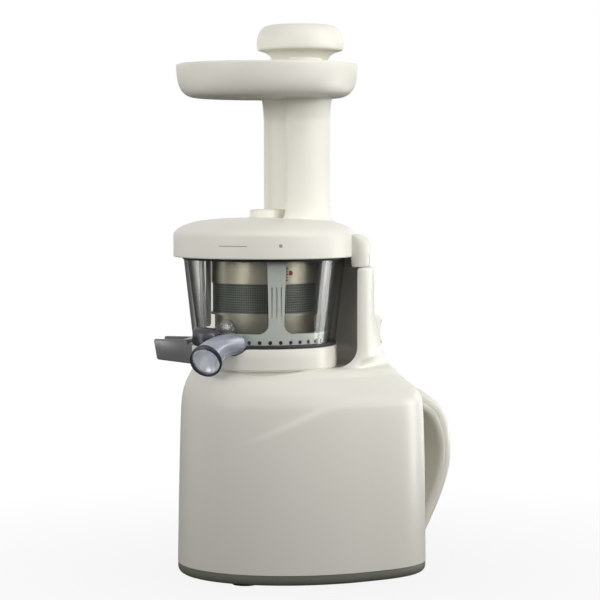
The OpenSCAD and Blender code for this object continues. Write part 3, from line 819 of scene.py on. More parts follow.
@dataclass(frozen=True)
class Laminated(Finish):
    """Stacked electrical steel: the edges of thin sheets, lying on each other."""

    second: str = "#5E6166"
    sheet: float = 2.0      # spacing of the sheets; the real 0.5 mm is too fine to show
    depth: float = 0.03

    def dress(self, paint: Paint) -> None:
        """Adds the edges of the sheets as bands along Z.

        Args:
            paint: The material's nodes.
        """
        paint.set_inputs(Metallic=0.9)
        bands = add_node(paint.tree, "TexWave", {"bands_direction": "Z"}, Vector=paint.place,
                         Scale=per_mm(self.sheet) * WAVE_SPACING, Distortion=0.2).outputs["Fac"]
        paint.tint(bands, self.colour, self.second)
        paint.bump(bands, self.depth)


@dataclass(frozen=True)
class WoundWire(Finish):
    """Enamelled copper wire: round turns lying side by side."""

    second: str = "#D08A4E"
    wire: float = 1.8       # spacing of the turns; the real 0.9 mm is too fine to show
    depth: float = 0.2

    def dress(self, paint: Paint) -> None:
        """Adds the turns as rings round the motor's axis.

        Args:
            paint: The material's nodes.
        """
        paint.set_inputs(Metallic=0.85)
        centred = add_node(paint.tree, "Mapping", Vector=paint.place,
                           Location=(-MOTOR_AXIS_X * MM, 0.0, 0.0))
        turns = add_node(paint.tree, "TexWave", {"wave_type": "RINGS", "rings_direction": "Z"},
                         Vector=centred.outputs[0], Scale=per_mm(self.wire) * WAVE_SPACING,
                         Distortion=1.5).outputs["Fac"]
        paint.tint(turns, self.colour, self.second)
        paint.bump(turns, self.depth)


@dataclass(frozen=True)
class PrintedInk(Finish):
    """Pad-printed ink: matt, with slightly uneven cover."""

    blot: float = 1.2       # how far apart its thicker places lie
    depth: float = 0.01
    rough_range: tuple[float, float] = (0.35, 0.6)

    def dress(self, paint: Paint) -> None:
        """Adds uneven gloss and cover.

        Args:
            paint: The material's nodes.
        """
        cover = paint.clouds(self.blot, *self.rough_range)
        paint.gloss(cover)
        paint.bump(cover, self.depth)


@dataclass(frozen=True)
class Finishes:
    """All the finishes of the machine, each named for its material."""

    # glossy injection-moulded ABS: warm ivory with broad soft highlights
    ivory: Finish = MouldedPlastic("glossy_ivory_ABS", "#E9E7DC", 0.38, second="#E6E4D8",
                                   grain=1.2, depth=0.0012, rough_range=0.02, shine=0.3)
    # fine-grained ABS: olive grey, almost no highlight
    olive: Finish = MouldedPlastic("grained_olive_ABS", "#74766A", 0.4, second="#6D6F63",
                                   grain=0.9, depth=0.01)
    # satin ABS of the inner half of the handle: beige, soft sheen; the beige is the ivory made
    # darker and warmer, as painted shade for the inside of the loop
    beige: Finish = MouldedPlastic("satin_ivory_ABS_with_painted_shade", "#DEDACF", 0.42, second="#D7D3C7",
                                   grain=1.1, depth=0.012)
    # moulded nylon of switch and small parts
    grey_nylon: Finish = MouldedPlastic("pale_grey_nylon", "#C9C7BB", 0.4, second="#C2C0B4",
                                        grain=1.2)
    black_nylon: Finish = MouldedPlastic("black_nylon", "#1E1E1F", 0.5, second="#242425",
                                         grain=1.0, depth=0.02)
    # clear copolyester tinted smoke grey: dark rims, cool highlights
    smoke: Finish = ClearPlastic("smoky_copolyester", "#353332", 0.1)
    # the same in a thick duct: nearly opaque
    smoke_thick: Finish = ClearPlastic("thick_smoky_copolyester", "#8E8F8D", 0.25,
                                       through="#8A8A8A", face_on=0.62, edge_on=0.97)
    # clear copolyester with a blue-grey tint
    blue_clear: Finish = ClearPlastic("blue_grey_copolyester", "#DDE1E9", 0.12,
                                      through="#EDEFF4", face_on=0.3, edge_on=0.75, shine=0.5)
    # a thin moulding of it: clear, with dark rims
    blue_thin: Finish = ClearPlastic("thin_blue_grey_copolyester", "#6A6B75", 0.12,
                                     through="#EEEFF3", face_on=0.05, edge_on=0.85)
    # a thick one: dark slate
    slate_thick: Finish = ClearPlastic("thick_slate_copolyester", "#43434B", 0.18,
                                       through="#8F909A", face_on=0.6, edge_on=0.95)
    # lip of the spout: the same plastic, edge on, so it looks solid and dark
    lip: Finish = MouldedPlastic("dark_copolyester_lip", "#33343D", 0.3, second="#3B3D49",
                                 grain=3.0)
    # polypropylene of the brush frame: pale, waxy
    pale_pp: Finish = MouldedPlastic("pale_grey_polypropylene", "#E6EBEA", 0.33,
                                     second="#DFE5E3", grain=2.5, depth=0.01)
    # acetal of the gears: off white, satin
    acetal: Finish = MouldedPlastic("off_white_acetal", "#DEDCD2", 0.38, second="#D8D6CB",
                                    grain=1.5)
    # polyetherimide of the auger: amber beige, tough and glossy
    pei: Finish = MouldedPlastic("beige_polyetherimide", "#B9AE97", 0.3, second="#AFA48D",
                                 grain=2.0, depth=0.01)
    # rolled stainless steel: fine lines along the band; its colour darkened as painted shade for
    # the dim surroundings that it reflects
    rolled_steel: Finish = WorkedMetal("rolled_stainless_steel", "#A8A498", 0.34,
                                       second="#9F9B8E", line=0.7)
    turned_steel: Finish = WorkedMetal("turned_steel", "#B4B4B6", 0.3, second="#A9A9AC", line=0.6)
    bronze: Finish = WorkedMetal("sintered_bronze", "#A67B45", 0.5, second="#966D3B", line=0.9)
    # perforated steel: its base colour kept dark as painted shade for the dim reflections on it
    mesh: Finish = PerforatedMetal("perforated_stainless_steel", "#616762", 0.42)
    stator_steel: Finish = Laminated("laminated_electrical_steel", "#7D8085", 0.45)
    copper: Finish = WoundWire("enamelled_copper_wire", "#B8703A", 0.35)
    # moulded rubber and silicone: matt, with a fine bloom
    rubber: Finish = MouldedPlastic("black_rubber", "#29292A", 0.7, second="#313132",
                                    grain=0.8, depth=0.03)
    silicone: Finish = MouldedPlastic("grey_silicone", "#A9ABAC", 0.55, second="#A1A3A4",
                                      grain=1.4, depth=0.015)
    board: Finish = MouldedPlastic("glass_fibre_board", "#2F5A38", 0.45, second="#376642",
                                   grain=0.9, depth=0.02, drift=6)
    film: Finish = MouldedPlastic("wrapped_polyester_film", "#C9A655", 0.25, second="#BF9A48",
                                  grain=2.4)
    # printed marks
    black_ink: Finish = PrintedInk("black_print", "#2B2C2B", 0.5)
    red_ink: Finish = PrintedInk("red_print", "#B5382F", 0.5)
    grey_ink: Finish = PrintedInk("grey_print", "#9A9C99", 0.5)


F = Finishes()


def present(obj: bpy.types.Object, name: str, body: str, finish: Finish,
            stands_for: Sequence[str] = (), smooth: float = 32) -> bpy.types.Object:
    """Shades a finished piece, dresses it and hangs it on its body.

    Args:
        obj: The piece.
        name: Its name.
        body: The body that it rides on.
        finish: Its finish.
        stands_for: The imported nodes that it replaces.
        smooth: Edges sharper than this many degrees stay sharp.

    Returns:
        The piece.
    """
    obj.name = obj.data.name = name
    focus(obj)
    bpy.ops.object.shade_smooth_by_angle(angle=math.radians(smooth))
    obj.data.materials.clear()
    obj.data.materials.append(finish.material())
    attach(obj, body)
    if stands_for:
        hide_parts(*stands_for)
    LOG.info("%s: %d faces on %s", name, len(obj.data.polygons), body)
    return obj


# ---------------------------------------------------------------- housing

@dataclass
class Housing:
    """The motor housing with the column behind the drum, its bottom pan and the drum's collar."""

    # height: front, half width and back of the outline, from the drum's axis
    rows: tuple[tuple[float, float, float, float], ...] = (
        (10, 63.3, 79.95, 113.9), (60, 62.4, 79.1, 113.5), (100, 61.5, 77.9, 113),
        (126, 60.5, 76.5, 112), (135, 59.5, 73.5, 108.5), (142, 57.9, 68, 103.5),
        (147, 56.1, 62, 98), (150.5, 54.5, 58, 93), (152.5, 53.4, 55, 89))
    widest_x: float = 38
    points_round: int = 176
    wall: float = 3
    # soft ledge that sweeps up each side: its lower edge, its upper edge, by distance from the axis
    ledge_low: tuple[tuple[float, float], ...] = (
        (-48, 98), (-38, 102), (-29.7, 106), (-17.4, 112), (-3.8, 118), (10.8, 123), (26, 127),
        (43, 130), (60, 131), (93, 130))
    ledge_high: tuple[tuple[float, float], ...] = (
        (-48, 100), (-38, 104.5), (-29.7, 109), (-17.3, 115.4), (-3.7, 122.4), (10.9, 129),
        (27.9, 137), (54, 141.5), (70, 142), (93, 142))
    ledge_depth: float = 3.0
    ledge_starts: tuple[float, float] = (-52, 34)       # where it deepens, front to back
    ledge_ends: tuple[float, float] = (146, 152.3)      # heights over which it fades out
    # column: half its angle, its faces, and its back by height
    column_half: float = 44
    column_inner: float = 70
    column_edge: float = 78
    column_fillet: float = 15
    hollow_fillet: float = 14.5     # rounding between the hollow face and the shoulder
    column_back: tuple[tuple[float, float], ...] = (
        (132, 109), (143, 105), (150, 100.5), (157, 96), (165, 91.5), (175, 88.5), (183, 86),
        (190, 84), (225, 83))
    nose: float = 7                 # degrees over which its two ends are rounded
    crown: float = 2.2              # rounding of its top edge
    lean_top: float = 160           # below this its edge leans inwards
    lean: float = 0.9
    shoulder: float = 152.5
    top: float = 225
    collar_r: float = 53
    collar_top: float = 168.5
    collar_posts: tuple[float, ...] = (97, 212, 278)    # directions of the screw posts under it
    pan_screws: tuple[tuple[float, float], ...] = ((-22, -52), (-22, 52), (68, -62), (68, 62))
    feet: tuple[tuple[float, float], ...] = ((-32, -32), (-32, 32), (86, -48), (86, 48))

    def measures(self, z: float) -> tuple[float, float, float]:
        """Returns front, half width and back of the outline at a height."""
        columns = [tuple((row[0], row[k]) for row in self.rows) for k in (1, 2, 3)]
        return tuple(along(c, z) for c in columns)

    def outline(self, z: float, inset: float = 0, ledge: bool = True) -> list[Point]:
        """Draws the housing's outline at a height, its points evenly spaced.

        Args:
            z: The height.
            inset: How far inside the outer face.
            ledge: True to step in above the ledge.

        Returns:
            The outline's points, from the middle of the back.
        """
        front, half, back = (m - inset for m in self.measures(z))
        fine = 720
        raw = []
        for i in range(fine):
            a = math.radians(360 * i / fine)
            c, s = math.cos(a), math.sin(a)
            power = 2 / 3 if c > 0 else 1
            reach = back - self.widest_x if c > 0 else front + self.widest_x
            raw.append((self.widest_x + reach * math.copysign(abs(c) ** power, c),
                        half * math.copysign(abs(s) ** power, s)))
        lengths = [0.0]
        for p, q in zip(raw, raw[1:] + raw[:1]):
            lengths.append(lengths[-1] + math.dist(p, q))
        even, i = [], 0
        for k in range(self.points_round):
            goal = lengths[-1] * k / self.points_round
            while lengths[i + 1] <= goal:
                i += 1
            t = (goal - lengths[i]) / (lengths[i + 1] - lengths[i])
            p, q = raw[i], raw[(i + 1) % fine]
            even.append((p[0] + t * (q[0] - p[0]), p[1] + t * (q[1] - p[1])))
        if not ledge:
            return [(x, y, z) for x, y in even]
        out = []
        for k, (x, y) in enumerate(even):
            before, after = even[k - 1], even[(k + 1) % len(even)]
            dx, dy = after[0] - before[0], after[1] - before[1]
            size = math.hypot(dx, dy)
            step = self.ledge_inset(x, z)
            out.append((x - step * dy / size, y + step * dx / size, z))
        return out

    def ledge_inset(self, x: float, z: float) -> float:
        """Works out how far the side lies inside its outline above the ledge.

        Args:
            x: How far back.
            z: The height.

        Returns:
            The step inwards.
        """
        low, high = along(self.ledge_low, x), along(self.ledge_high, x)
        depth = self.ledge_depth * ease(x, *self.ledge_starts)
        rise = min(1.0, max(0.0, (z - low) / (high - low)))
        return depth * rise ** 2 * (1 - ease(z, *self.ledge_ends))

    def column_outline(self, z: float) -> list[Point]:
        """Draws the column's outline at a height: its hollow face, then its back.

        Args:
            z: The height.

        Returns:
            The outline's points.
        """
        r = self.column_fillet
        rise = min(r, max(0.0, self.shoulder + r - z))
        spread = r - math.sqrt(r * r - rise * rise)
        over = max(0.0, z - self.top + self.crown)
        crown = self.crown - math.sqrt(max(0.0, self.crown ** 2 - over ** 2))
        half = self.column_half + math.degrees((spread - crown) / self.column_edge)
        back = along(self.column_back, z) - crown
        dip = min(self.hollow_fillet, max(0.0, self.shoulder + self.hollow_fillet - z))
        hollow = (self.column_inner - self.hollow_fillet + crown
                  + math.sqrt(self.hollow_fillet ** 2 - dip * dip))
        edge = self.column_edge - crown - self.lean * max(0.0, self.lean_top - z)
        inner_steps, outer_steps, lip = 30, 38, 0.4
        inner = [around(hollow, half - 2 * half * i / inner_steps, z)
                 for i in range(inner_steps + 1)]
        outer = []
        for i in range(1, outer_steps):
            a = -half * math.cos(math.pi * i / outer_steps)
            full = edge + (back - edge) * math.cos(math.radians(90 * a / half)) ** 2
            nose = math.sqrt(1 - (1 - min(1.0, (half - abs(a)) / self.nose)) ** 2)
            outer.append(around(hollow + lip + (full - hollow - lip) * nose, a, z))
        return inner + outer

    def solid(self) -> bpy.types.Object:
        """Builds the outer skin of housing and column.

        Returns:
            Both as one solid.
        """
        # the levels lie closest round the ledge, the shoulder and the column's fillet
        heights = [10, 10.6] + list(range(14, 94, 8)) + [94 + 1.0 * k for k in range(49)]
        heights += [143.2 + 0.7 * k for k in range(13)] + [self.shoulder]
        body = loft("housing", [self.outline(z) for z in heights])
        levels = [131, 136, 141, 146, 150, self.shoulder, 152.8, 153.2]
        levels += [154 + 1.25 * k for k in range(12)]
        levels += [171, 175, 179, 183, 187, 192, 198, 206, 214, 219, self.top - self.crown]
        levels += [self.top - self.crown + self.crown * math.sin(math.radians(a))
                   for a in (25, 45, 65, 90)]
        column = loft("column", [self.column_outline(z) for z in levels])
        combine(body, [column], Join.ADD)
        return body

    def skin(self, solid: bpy.types.Object) -> None:
        """Hollows the solid and cuts its openings.

        Args:
            solid: Housing and column.
        """
        rings = []
        for z in (0, 10, 60, 100, 123, 132, 139, 144, 147.5, 149.5):
            roof = self.wall if z > 120 else 0      # the wall over it, under the rounded shoulder
            ring = self.outline(max(10, z + roof), self.wall, ledge=False)
            rings.append([(x, y, z) for x, y, _ in ring])
        hollow = loft("hollow", rings)
        with editing(hollow):
            bpy.ops.mesh.select_all(action="SELECT")
            bpy.ops.transform.resize(value=(0.965, 0.955, 1.0), center_override=at(20, 0, 0))
        cutters = [
            hollow,
            rod("well", 50, (0, 0, 120), (0, 0, 160), 128),
            block("wires", (73, -10, 120), (80.5, 10, 221)),
            block("wires_foot", (73, -10, 120), (88, 10, 160)),
            block("switch_window", (72.9, -11, 162.5), (120, 11, 187.5)),
            rod("plunger_hole", 3.05, (77, 0, 210), (77, 0, 230)),
            rod("gland_hole", 7, (104, 34, 18), (124, 34, 18)),
        ]
        combine(solid, cutters + handle_holes(), Join.CUT)
        present(solid, "housing_skin", "base", F.ivory, ("body_shell", "column"))

    def collar(self) -> None:
        """Turns the collar that the drum stands in, with its two notches."""
        r, top, foot, drum = self.collar_r, self.collar_top, self.shoulder, Drum()
        profile = [(9, 146), (49.9, 146), (49.9, foot), (r - 0.9, foot), (r - 0.9, 153.2),
                   (r, 153.7), (r - 0.1, 161), (r - 0.25, top - 1.0), (r - 0.6, top - 0.3),
                   (r - 1.2, top), (50.6, top), (50.6, 155), (46, 155), (46, 149), (9, 149)]
        collar = turned("collar", profile)
        cuts = [spoke("notch", (30, 62), drum.pulp_half + 0.6, (foot + 0.1, 200), drum.pulp_dir)]
        for lift in (0, 5):
            rings = [drum.juice_ring(t, 8.6) for t in (-0.5, -0.1, 0.1, 0.3, 0.5)]
            cuts.append(loft("notch", [[(x, y, z + lift) for x, y, z in ring] for ring in rings]))
        combine(collar, cuts, Join.CUT)
        posts = [rod("post", 3, around(46, a, 128), around(46, a, 147), 32)
                 for a in self.collar_posts]
        combine(collar, posts, Join.ADD)
        present(collar, "seat_collar", "base", F.ivory, ("drum_seat",))

    def pan(self) -> None:
        """Lofts the dark bottom pan, with air slots, screw bosses and a rounded foot."""
        # height, and how far inside the housing's foot
        steps = ((2.5, 3.4), (2.6, 2.6), (3.1, 1.7), (3.9, 0.95), (4.9, 0.45), (6.2, 0.15),
                 (7.6, 0.1), (9.6, 0.25), (9.95, 0.7))
        pan, inside = (
            loft(name, [[(x, y, z) for x, y, _ in self.outline(10, inset, ledge=False)]
                        for z, inset in rings])
            for name, rings in (("pan", steps), ("inside", ((6, self.wall), (12, self.wall)))))
        motor_x, slot_gap = MOTOR_AXIS_X - DRUM_AXIS_X, 8
        cutters = [block("slot", (motor_x + slot_gap * i - 2, -22, 0),
                         (motor_x + slot_gap * i + 2, 22, 7)) for i in range(-3, 4)]
        combine(pan, [inside] + cutters, Join.CUT)
        bosses = [rod("boss", 5, (x, y, 5), (x, y, 18), 32) for x, y in self.pan_screws]
        rails = [block("rail", (86, y, 5), (96, y + 4, 10)) for y in (-33, 29)]
        combine(pan, bosses + rails, Join.ADD)
        holes = [rod("hole", 1.9, (x, y, 0), (x, y, 30), 24) for x, y in self.pan_screws]
        holes += [rod("sink", 4.4, (x, y, 0), (x, y, 4.8), 32) for x, y in self.pan_screws]
        holes += [rod("foot_hole", 3, (x, y, 0), (x, y, 30), 32) for x, y in self.feet]
        holes.append(block("board_slot", (89.7, -40, 6.4), (91.9, 40, 60)))
        combine(pan, holes, Join.CUT)
        present(pan, "bottom_pan", "base", F.olive, ("base_pan",))

    def build(self) -> bpy.types.Object:
        """Builds the housing's pieces.

        Returns:
            The outer solid, for trimming what stands against it. It is removed later.
        """
        solid = self.solid()
        outer = twin(solid, "housing_outer")
        self.skin(solid)
        self.collar()
        self.pan()
        return outer


def handle_holes() -> list[bpy.types.Object]:
    """Returns cutters for the two screws that hold the handle to the housing."""
    return [rod("screw_hole", 2.1, (100, 0, z), (126, 0, z), 24) for z in (17, 126)]


@dataclass
class Handle:
    """The loop handle: an outer half and an inner half that meet in a groove."""

    width: float = 27
    outer: tuple[tuple[float, float], ...] = (
        (98, 133), (109, 136.3), (126, 130.5), (142, 120), (149.8, 108), (153.4, 90),
        (152.4, 71), (146, 51.5), (136.5, 32), (130.5, 22), (122, 15), (104, 12))
    inner: tuple[tuple[float, float], ...] = (
        (96, 120), (109, 119.5), (120, 117.5), (131, 111), (138, 101.5), (141.8, 87),
        (141, 72), (136.4, 55), (129, 40), (123, 30), (116, 25), (104, 23))
    share: float = 0.45     # where the groove lies, from the inner edge to the outer
    rounding: float = 5.0
    groove: float = 1.2

    def strip(self, name: str, first: Profile, second: Profile, near: float,
              far: float) -> bpy.types.Object:
        """Builds one half between two side-view lines.

        Args:
            name: The half's name.
            first: Its line on the visible side.
            second: Its line in the groove.
            near: Rounding of the edges along the first line.
            far: Rounding of the edges along the second line.

        Returns:
            The half, not yet trimmed to the housing.
        """
        a, b = curve(first, 5), curve(second, 5)
        side = [(x, z) for x, z in a] + [(x, z) for x, z in reversed(b)]
        half = self.width / 2
        piece = loft(name, [[(x, y, z) for x, z in side] for y in (-half, half)])

        def lies_on(line: Profile) -> Callable[[bmesh.types.BMEdge], bool]:
            """Finds the long edges along a line, at the two sides of the strip.

            Args:
                line: The line.

            Returns:
                A test for one edge.
            """
            keys = {(round(at(x, 0, z).x, 5), round(z * MM, 5)) for x, z in line}

            def test(edge: bmesh.types.BMEdge) -> bool:
                """Says whether both ends of an edge lie on the line and on one side."""
                u, v = edge.verts
                return (abs(u.co.y - v.co.y) < 1e-6
                        and all((round(w.co.x, 5), round(w.co.z, 5)) in keys for w in (u, v)))
            return test

        round_chosen(piece, lies_on(a), near, 6)
        round_chosen(piece, lies_on(b), far, 2)
        return piece

    def build(self, housing: bpy.types.Object) -> None:
        """Builds both halves and trims their ends to the housing.

        Args:
            housing: Housing and column as one solid.
        """
        middle = [tuple(self.share * u + (1 - self.share) * v for u, v in zip(far, near))
                  for far, near in zip(self.outer, self.inner)]
        outer = self.strip("handle_back", list(self.outer), middle, self.rounding, self.groove)
        inner = self.strip("handle_front", list(self.inner), middle, self.rounding - 1.5,
                           self.groove)
        for piece in (outer, inner):
            combine(piece, [twin(housing, "trim")] + handle_holes(), Join.CUT)
        present(outer, "handle_back", "base", F.ivory, ("handle_outer",), 40)
        # the inner half's darker finish is painted shade for the inside of the loop
        present(inner, "handle_front", "base", F.beige, ("handle_inner",), 40)


@dataclass
class Switch:
    """The rocker switch in the column's back and its rounded frame."""

    x: float = 85.5
    z: float = 175
    half_w: float = 8
    half_h: float = 8.9
    gap: float = 1.2
    frame_half_w: float = 10.85
    frame_half_h: float = 12.35
    corner: float = 3
    pin_r: float = 1.25

    def pin_hole(self, half: float) -> bpy.types.Object:
        """Returns a cutter for the pin that the rocker turns on."""
        return rod("pin_hole", self.pin_r, (self.x, -half, self.z), (self.x, half, self.z), 24)

    def build(self) -> None:
        """Builds the frame and the rocker."""
        rings = []
        for x, grow in ((80.5, 0), (90.6, 0), (91.8, -0.5), (92.4, -1.4)):
            high = self.frame_half_h + grow
            ring = rounded_box(self.frame_half_w + grow, self.z - high, self.z + high,
                               self.corner + grow)
            rings.append([(x, y, z) for y, z in ring])
        bezel = loft("bezel", rings)
        high = self.half_h + self.gap
        opening = rounded_box(self.half_w + 0.4, self.z - high, self.z + high, 1)
        window = loft("window", [[(x, y, z) for y, z in opening] for x in (70, 120)])
        combine(bezel, [window, self.pin_hole(10)], Join.CUT)
        present(bezel, "switch_frame", "base", F.ivory, ("switch_bezel",))

        face = [(-3.6, -4), (2.6, 0.4 - self.half_h), (9.4, -self.half_h), (8.2, -4.4), (7.6, 0),
                (8.2, 4.4), (9.4, self.half_h), (2.6, self.half_h - 0.4), (-3.6, 4)]
        rocker = loft("rocker_cap", [[(self.x + u, y, self.z + w) for u, w in face]
                                     for y in (-self.half_w, self.half_w)])
        round_edges(rocker, 0.7, 3, 50)
        combine(rocker, [self.pin_hole(20)], Join.CUT)
        present(rocker, "rocker_cap", "rocker", F.grey_nylon, ("rocker",))


@dataclass
class LockSpring:
    """The wound steel spring under the lock plunger, in the top of the column."""

    x: float = 77
    foot_z: float = 208.45
    head_z: float = 216.95
    coil_r: float = 2.5
    wire_r: float = 0.35
    turns: int = 5
    sides: int = 8
    press: float = 3        # how far the lid's lug pushes the plunger

    def build(self) -> None:
        """Winds the spring."""
        angles = [2 * math.pi * k / self.sides for k in range(self.sides)]
        wire = [Vector((self.coil_r + self.wire_r * math.cos(a), 0, self.wire_r * math.sin(a))) * MM
                for a in angles]
        coil = ring_start("coil", wire, False)
        rise = self.head_z - self.foot_z - 2 * self.wire_r
        apply(coil, "SCREW", axis="Z", angle=2 * math.pi, iterations=self.turns, steps=24,
              render_steps=24, screw_offset=rise / self.turns * MM)
        with editing(coil):
            bpy.ops.mesh.select_all(action="SELECT")
            bpy.ops.mesh.fill_holes(sides=0)
            bpy.ops.mesh.select_all(action="SELECT")
            bpy.ops.mesh.normals_make_consistent(inside=False)
            bpy.ops.transform.translate(value=at(self.x, 0, self.foot_z + self.wire_r))
        present(coil, "lock_spring", "base", F.turned_steel, ("plunger_spring",))
        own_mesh(coil)


# ---------------------------------------------------------------- drum

@dataclass
class Drum:
    """The smoky drum with its juice spout, its pulp duct and its dark seal lines."""

    foot_r: float = 51.5
    flare: float = 0.1125
    foot_z: float = 168.5
    top_z: float = 246
    stub_r: float = 50.2
    stub_low: float = 155.4
    # juice spout's bent axis: its root, the bend and its mouth, and which way each end faces
    juice_path: tuple[Point, Point, Point] = (
        (-36.5, -31.8, 172.0), (-55.0, -31.8, 172.6), (-61.8, -30.6, 160.7))
    juice_facing: tuple[tuple[float, float], tuple[float, float]] = ((187, -3), (221, -25))
    mouth_r: float = 11.9
    pulp_dir: float = 140
    pulp_half: float = 16
    hood_dir: float = 213.5
    # posts on its floor: direction, distance from the axis, radius
    posts: tuple[tuple[float, float, float], ...] = (
        (30, 27.5, 4), (210, 27.5, 4), (90, 32, 3), (270, 32, 3))

    def radius(self, z: float) -> float:
        """Returns the drum's outer radius at a height."""
        return self.foot_r + (z - self.foot_z) * self.flare

    def envelope(self, name: str, grow: float = 0) -> bpy.types.Object:
        """Turns the drum's outer shape as a solid, for trimming.

        Args:
            name: The new object's name.
            grow: How far outside the wall.

        Returns:
            The solid.
        """
        profile = [(0, self.stub_low), (self.stub_r + grow, self.stub_low),
                   (self.stub_r + grow, self.foot_z + 0.3), (self.foot_r + grow, self.foot_z + 0.3),
                   (self.radius(self.top_z) + grow, self.top_z), (0, self.top_z)]
        return turned(name, profile, solid=True)

    def juice_ring(self, t: float, radius: float, n: int = 64) -> list[Point]:
        """Draws the juice spout's round section.

        Args:
            t: Where along the spout, 0 at its root and 1 at its mouth.
            radius: The section's radius.
            n: Points on it.

        Returns:
            The section's points.
        """
        a, b, c = (Vector(p) for p in self.juice_path)
        centre = a * (1 - t) ** 2 + b * 2 * t * (1 - t) + c * t * t
        turn, tip = (math.radians(p + (q - p) * t) for p, q in zip(*self.juice_facing))
        facing = Vector((math.cos(turn) * math.cos(tip), math.sin(turn) * math.cos(tip),
                         math.sin(tip)))
        side = Vector((-math.sin(turn), math.cos(turn), 0))
        up = facing.cross(side)
        return [tuple(centre + side * radius * math.cos(2 * math.pi * k / n)
                      + up * radius * math.sin(2 * math.pi * k / n)) for k in range(n)]

    def duct(self, name: str, half: float, side: Profile) -> bpy.types.Object:
        """Returns a bar with a side view along the pulp's way out."""
        return loft(name, [[outward(rho, aside, z, self.pulp_dir) for rho, z in side]
                           for aside in (-half, half)])

    def wall(self) -> None:
        """Turns the drum's wall and floor."""
        top, foot = self.top_z, self.foot_z
        profile = [(47.8, self.stub_low), (self.stub_r, self.stub_low), (self.stub_r, foot + 0.3),
                   (self.foot_r, foot + 0.3)]
        profile += [(self.radius(z), z) for z in (180, 200, 220, 240)]
        profile += [(self.radius(top) - 0.1, top - 0.4), (self.radius(top) - 0.6, top),
                    (self.radius(top) - 2.0, top), (self.radius(top) - 2.5, top - 0.5),
                    (49.2, 180), (48, 172), (47.2, 169.4), (45.6, foot),
                    (10.4, foot), (10.4, 174), (7.6, 174), (7.6, 165.5), (47.8, 165.5)]
        drum = turned("drum_wall", profile)
        combine(drum, [rod("post", r, around(rho, degrees, 166), around(rho, degrees, 176), 32)
                       for degrees, rho, r in self.posts], Join.ADD)
        opening = self.duct("opening", self.pulp_half, [
            (18, 154.3), (52, 154.3), (77, 157), (79.6, 172), (53, 172), (53, 168.5), (18, 168.5)])
        bore = loft("bore", [self.juice_ring(t, 6.2) for t in (-0.2, 0, 0.3)])
        combine(drum, [opening, bore], Join.CUT)
        present(drum, "drum_wall", "drum", F.smoke, ("bowl",))

    def juice_spout(self) -> None:
        """Lofts the bent spout with its dark lip, and the arch and shoulder at its root."""
        steps = [k / 14 for k in range(15)]
        tube = loft("juice_tube", [self.juice_ring(t, 7.6 + (self.mouth_r - 0.6 - 7.6) * t ** 2)
                                   for t in steps])
        bore = loft("bore", [self.juice_ring(t, 6.2 + (self.mouth_r - 1.7 - 6.2) * t ** 2)
                             for t in [-0.1] + steps + [1.06]])
        combine(tube, [self.envelope("trim", TRIM_GAP), bore], Join.CUT)
        present(tube, "juice_tube", "drum", F.blue_clear, ("juice_spout",))
        turns = [2 * math.pi * k / 12 for k in range(12)] + [0]
        lip = loft("juice_lip", [self.juice_ring(1 + 0.055 * math.sin(b),
                                                 self.mouth_r - 0.8 + 0.8 * math.cos(b), 96)
                                 for b in turns], closed=False)
        tidy(lip)
        present(lip, "juice_lip", "drum", F.lip)

        half, low, crown = 7.2, 169.2, 182.4
        arch = [(half, low)] + [(half * math.cos(math.radians(a)), crown + half
                                 * math.sin(math.radians(a))) for a in range(0, 181, 10)]
        arch.append((-half, low))
        hood = loft("spout_hood", [[outward(rho, t * scale, low + (z - low) * scale,
                                            self.hood_dir)
                                    for t, z in arch]
                                   for rho, scale in ((50, 1.0), (56.4, 1.0), (57.5, 0.95),
                                                      (58.0, 0.87))])
        combine(hood, [self.envelope("trim", TRIM_GAP)], Join.CUT)
        present(hood, "spout_hood", "drum", F.blue_thin)
        shoulder = turned("spout_shoulder", [(49, 169.4), (56.5, 169.4), (58, 170.4), (58.6, 172),
                                             (58.3, 178.6), (57.6, 181), (56, 182.6), (49, 183.2)],
                          16, start=180, sweep=26)
        round_edges(shoulder, 1.2, 3, 40)
        combine(shoulder, [self.envelope("trim", TRIM_GAP)], Join.CUT)
        present(shoulder, "spout_shoulder", "drum", F.slate_thick)
        line = turned("foot_seal", [(50.3, 168.55), (52.1, 168.55), (52.5, 169.2), (52.5, 170.3),
                                    (52.2, 171.0), (51.6, 171.2), (50.3, 171.2)], 128)
        notch = spoke("notch", (40, 60), self.pulp_half + 0.2, (160, 180), self.pulp_dir)
        combine(line, [notch, loft("bore", [self.juice_ring(t, 7.7) for t in (-0.2, 0, 0.4)])],
                Join.CUT)
        present(line, "foot_seal", "drum", F.rubber)
        r = self.radius(231)
        rim = turned("drum_rim", [(r - 0.4, 230.6), (r + 0.5, 230.6), (r + 0.9, 231.1),
                                  (r + 1.1, 232), (r + 1.1, 235), (r - 0.1, 235)], 128)
        present(rim, "drum_rim", "drum", F.rubber)

    def pulp_spout(self) -> None:
        """Builds the square pulp duct."""
        outer = self.duct("pulp_duct", self.pulp_half, [
            (18, 154.3), (52, 154.3), (77, 157), (79.5, 172), (53, 172), (53, 168.5), (18, 168.5)])
        round_edges(outer, 1.4, 3, 40)
        inner_half = self.pulp_half - 2
        cutters = [
            self.duct("inside", inner_half, [
                (20, 156.3), (52, 156.3), (90, 160.4), (90, 176), (57, 176), (57, 170), (55, 170),
                (51, 166.5), (20, 166.5)]),
            self.duct("top_hole", inner_half, [(20, 160), (38, 160), (38, 180), (20, 180)]),
            rod("plug_hole", 8, outward(34, 0, 150, self.pulp_dir),
                outward(34, 0, 160, self.pulp_dir), 48)]
        combine(outer, cutters, Join.CUT)
        present(outer, "pulp_duct", "drum", F.smoke_thick, ("pulp_spout",))

    def build(self) -> None:
        """Builds the drum and its spouts."""
        self.wall()
        self.juice_spout()
        self.pulp_spout()


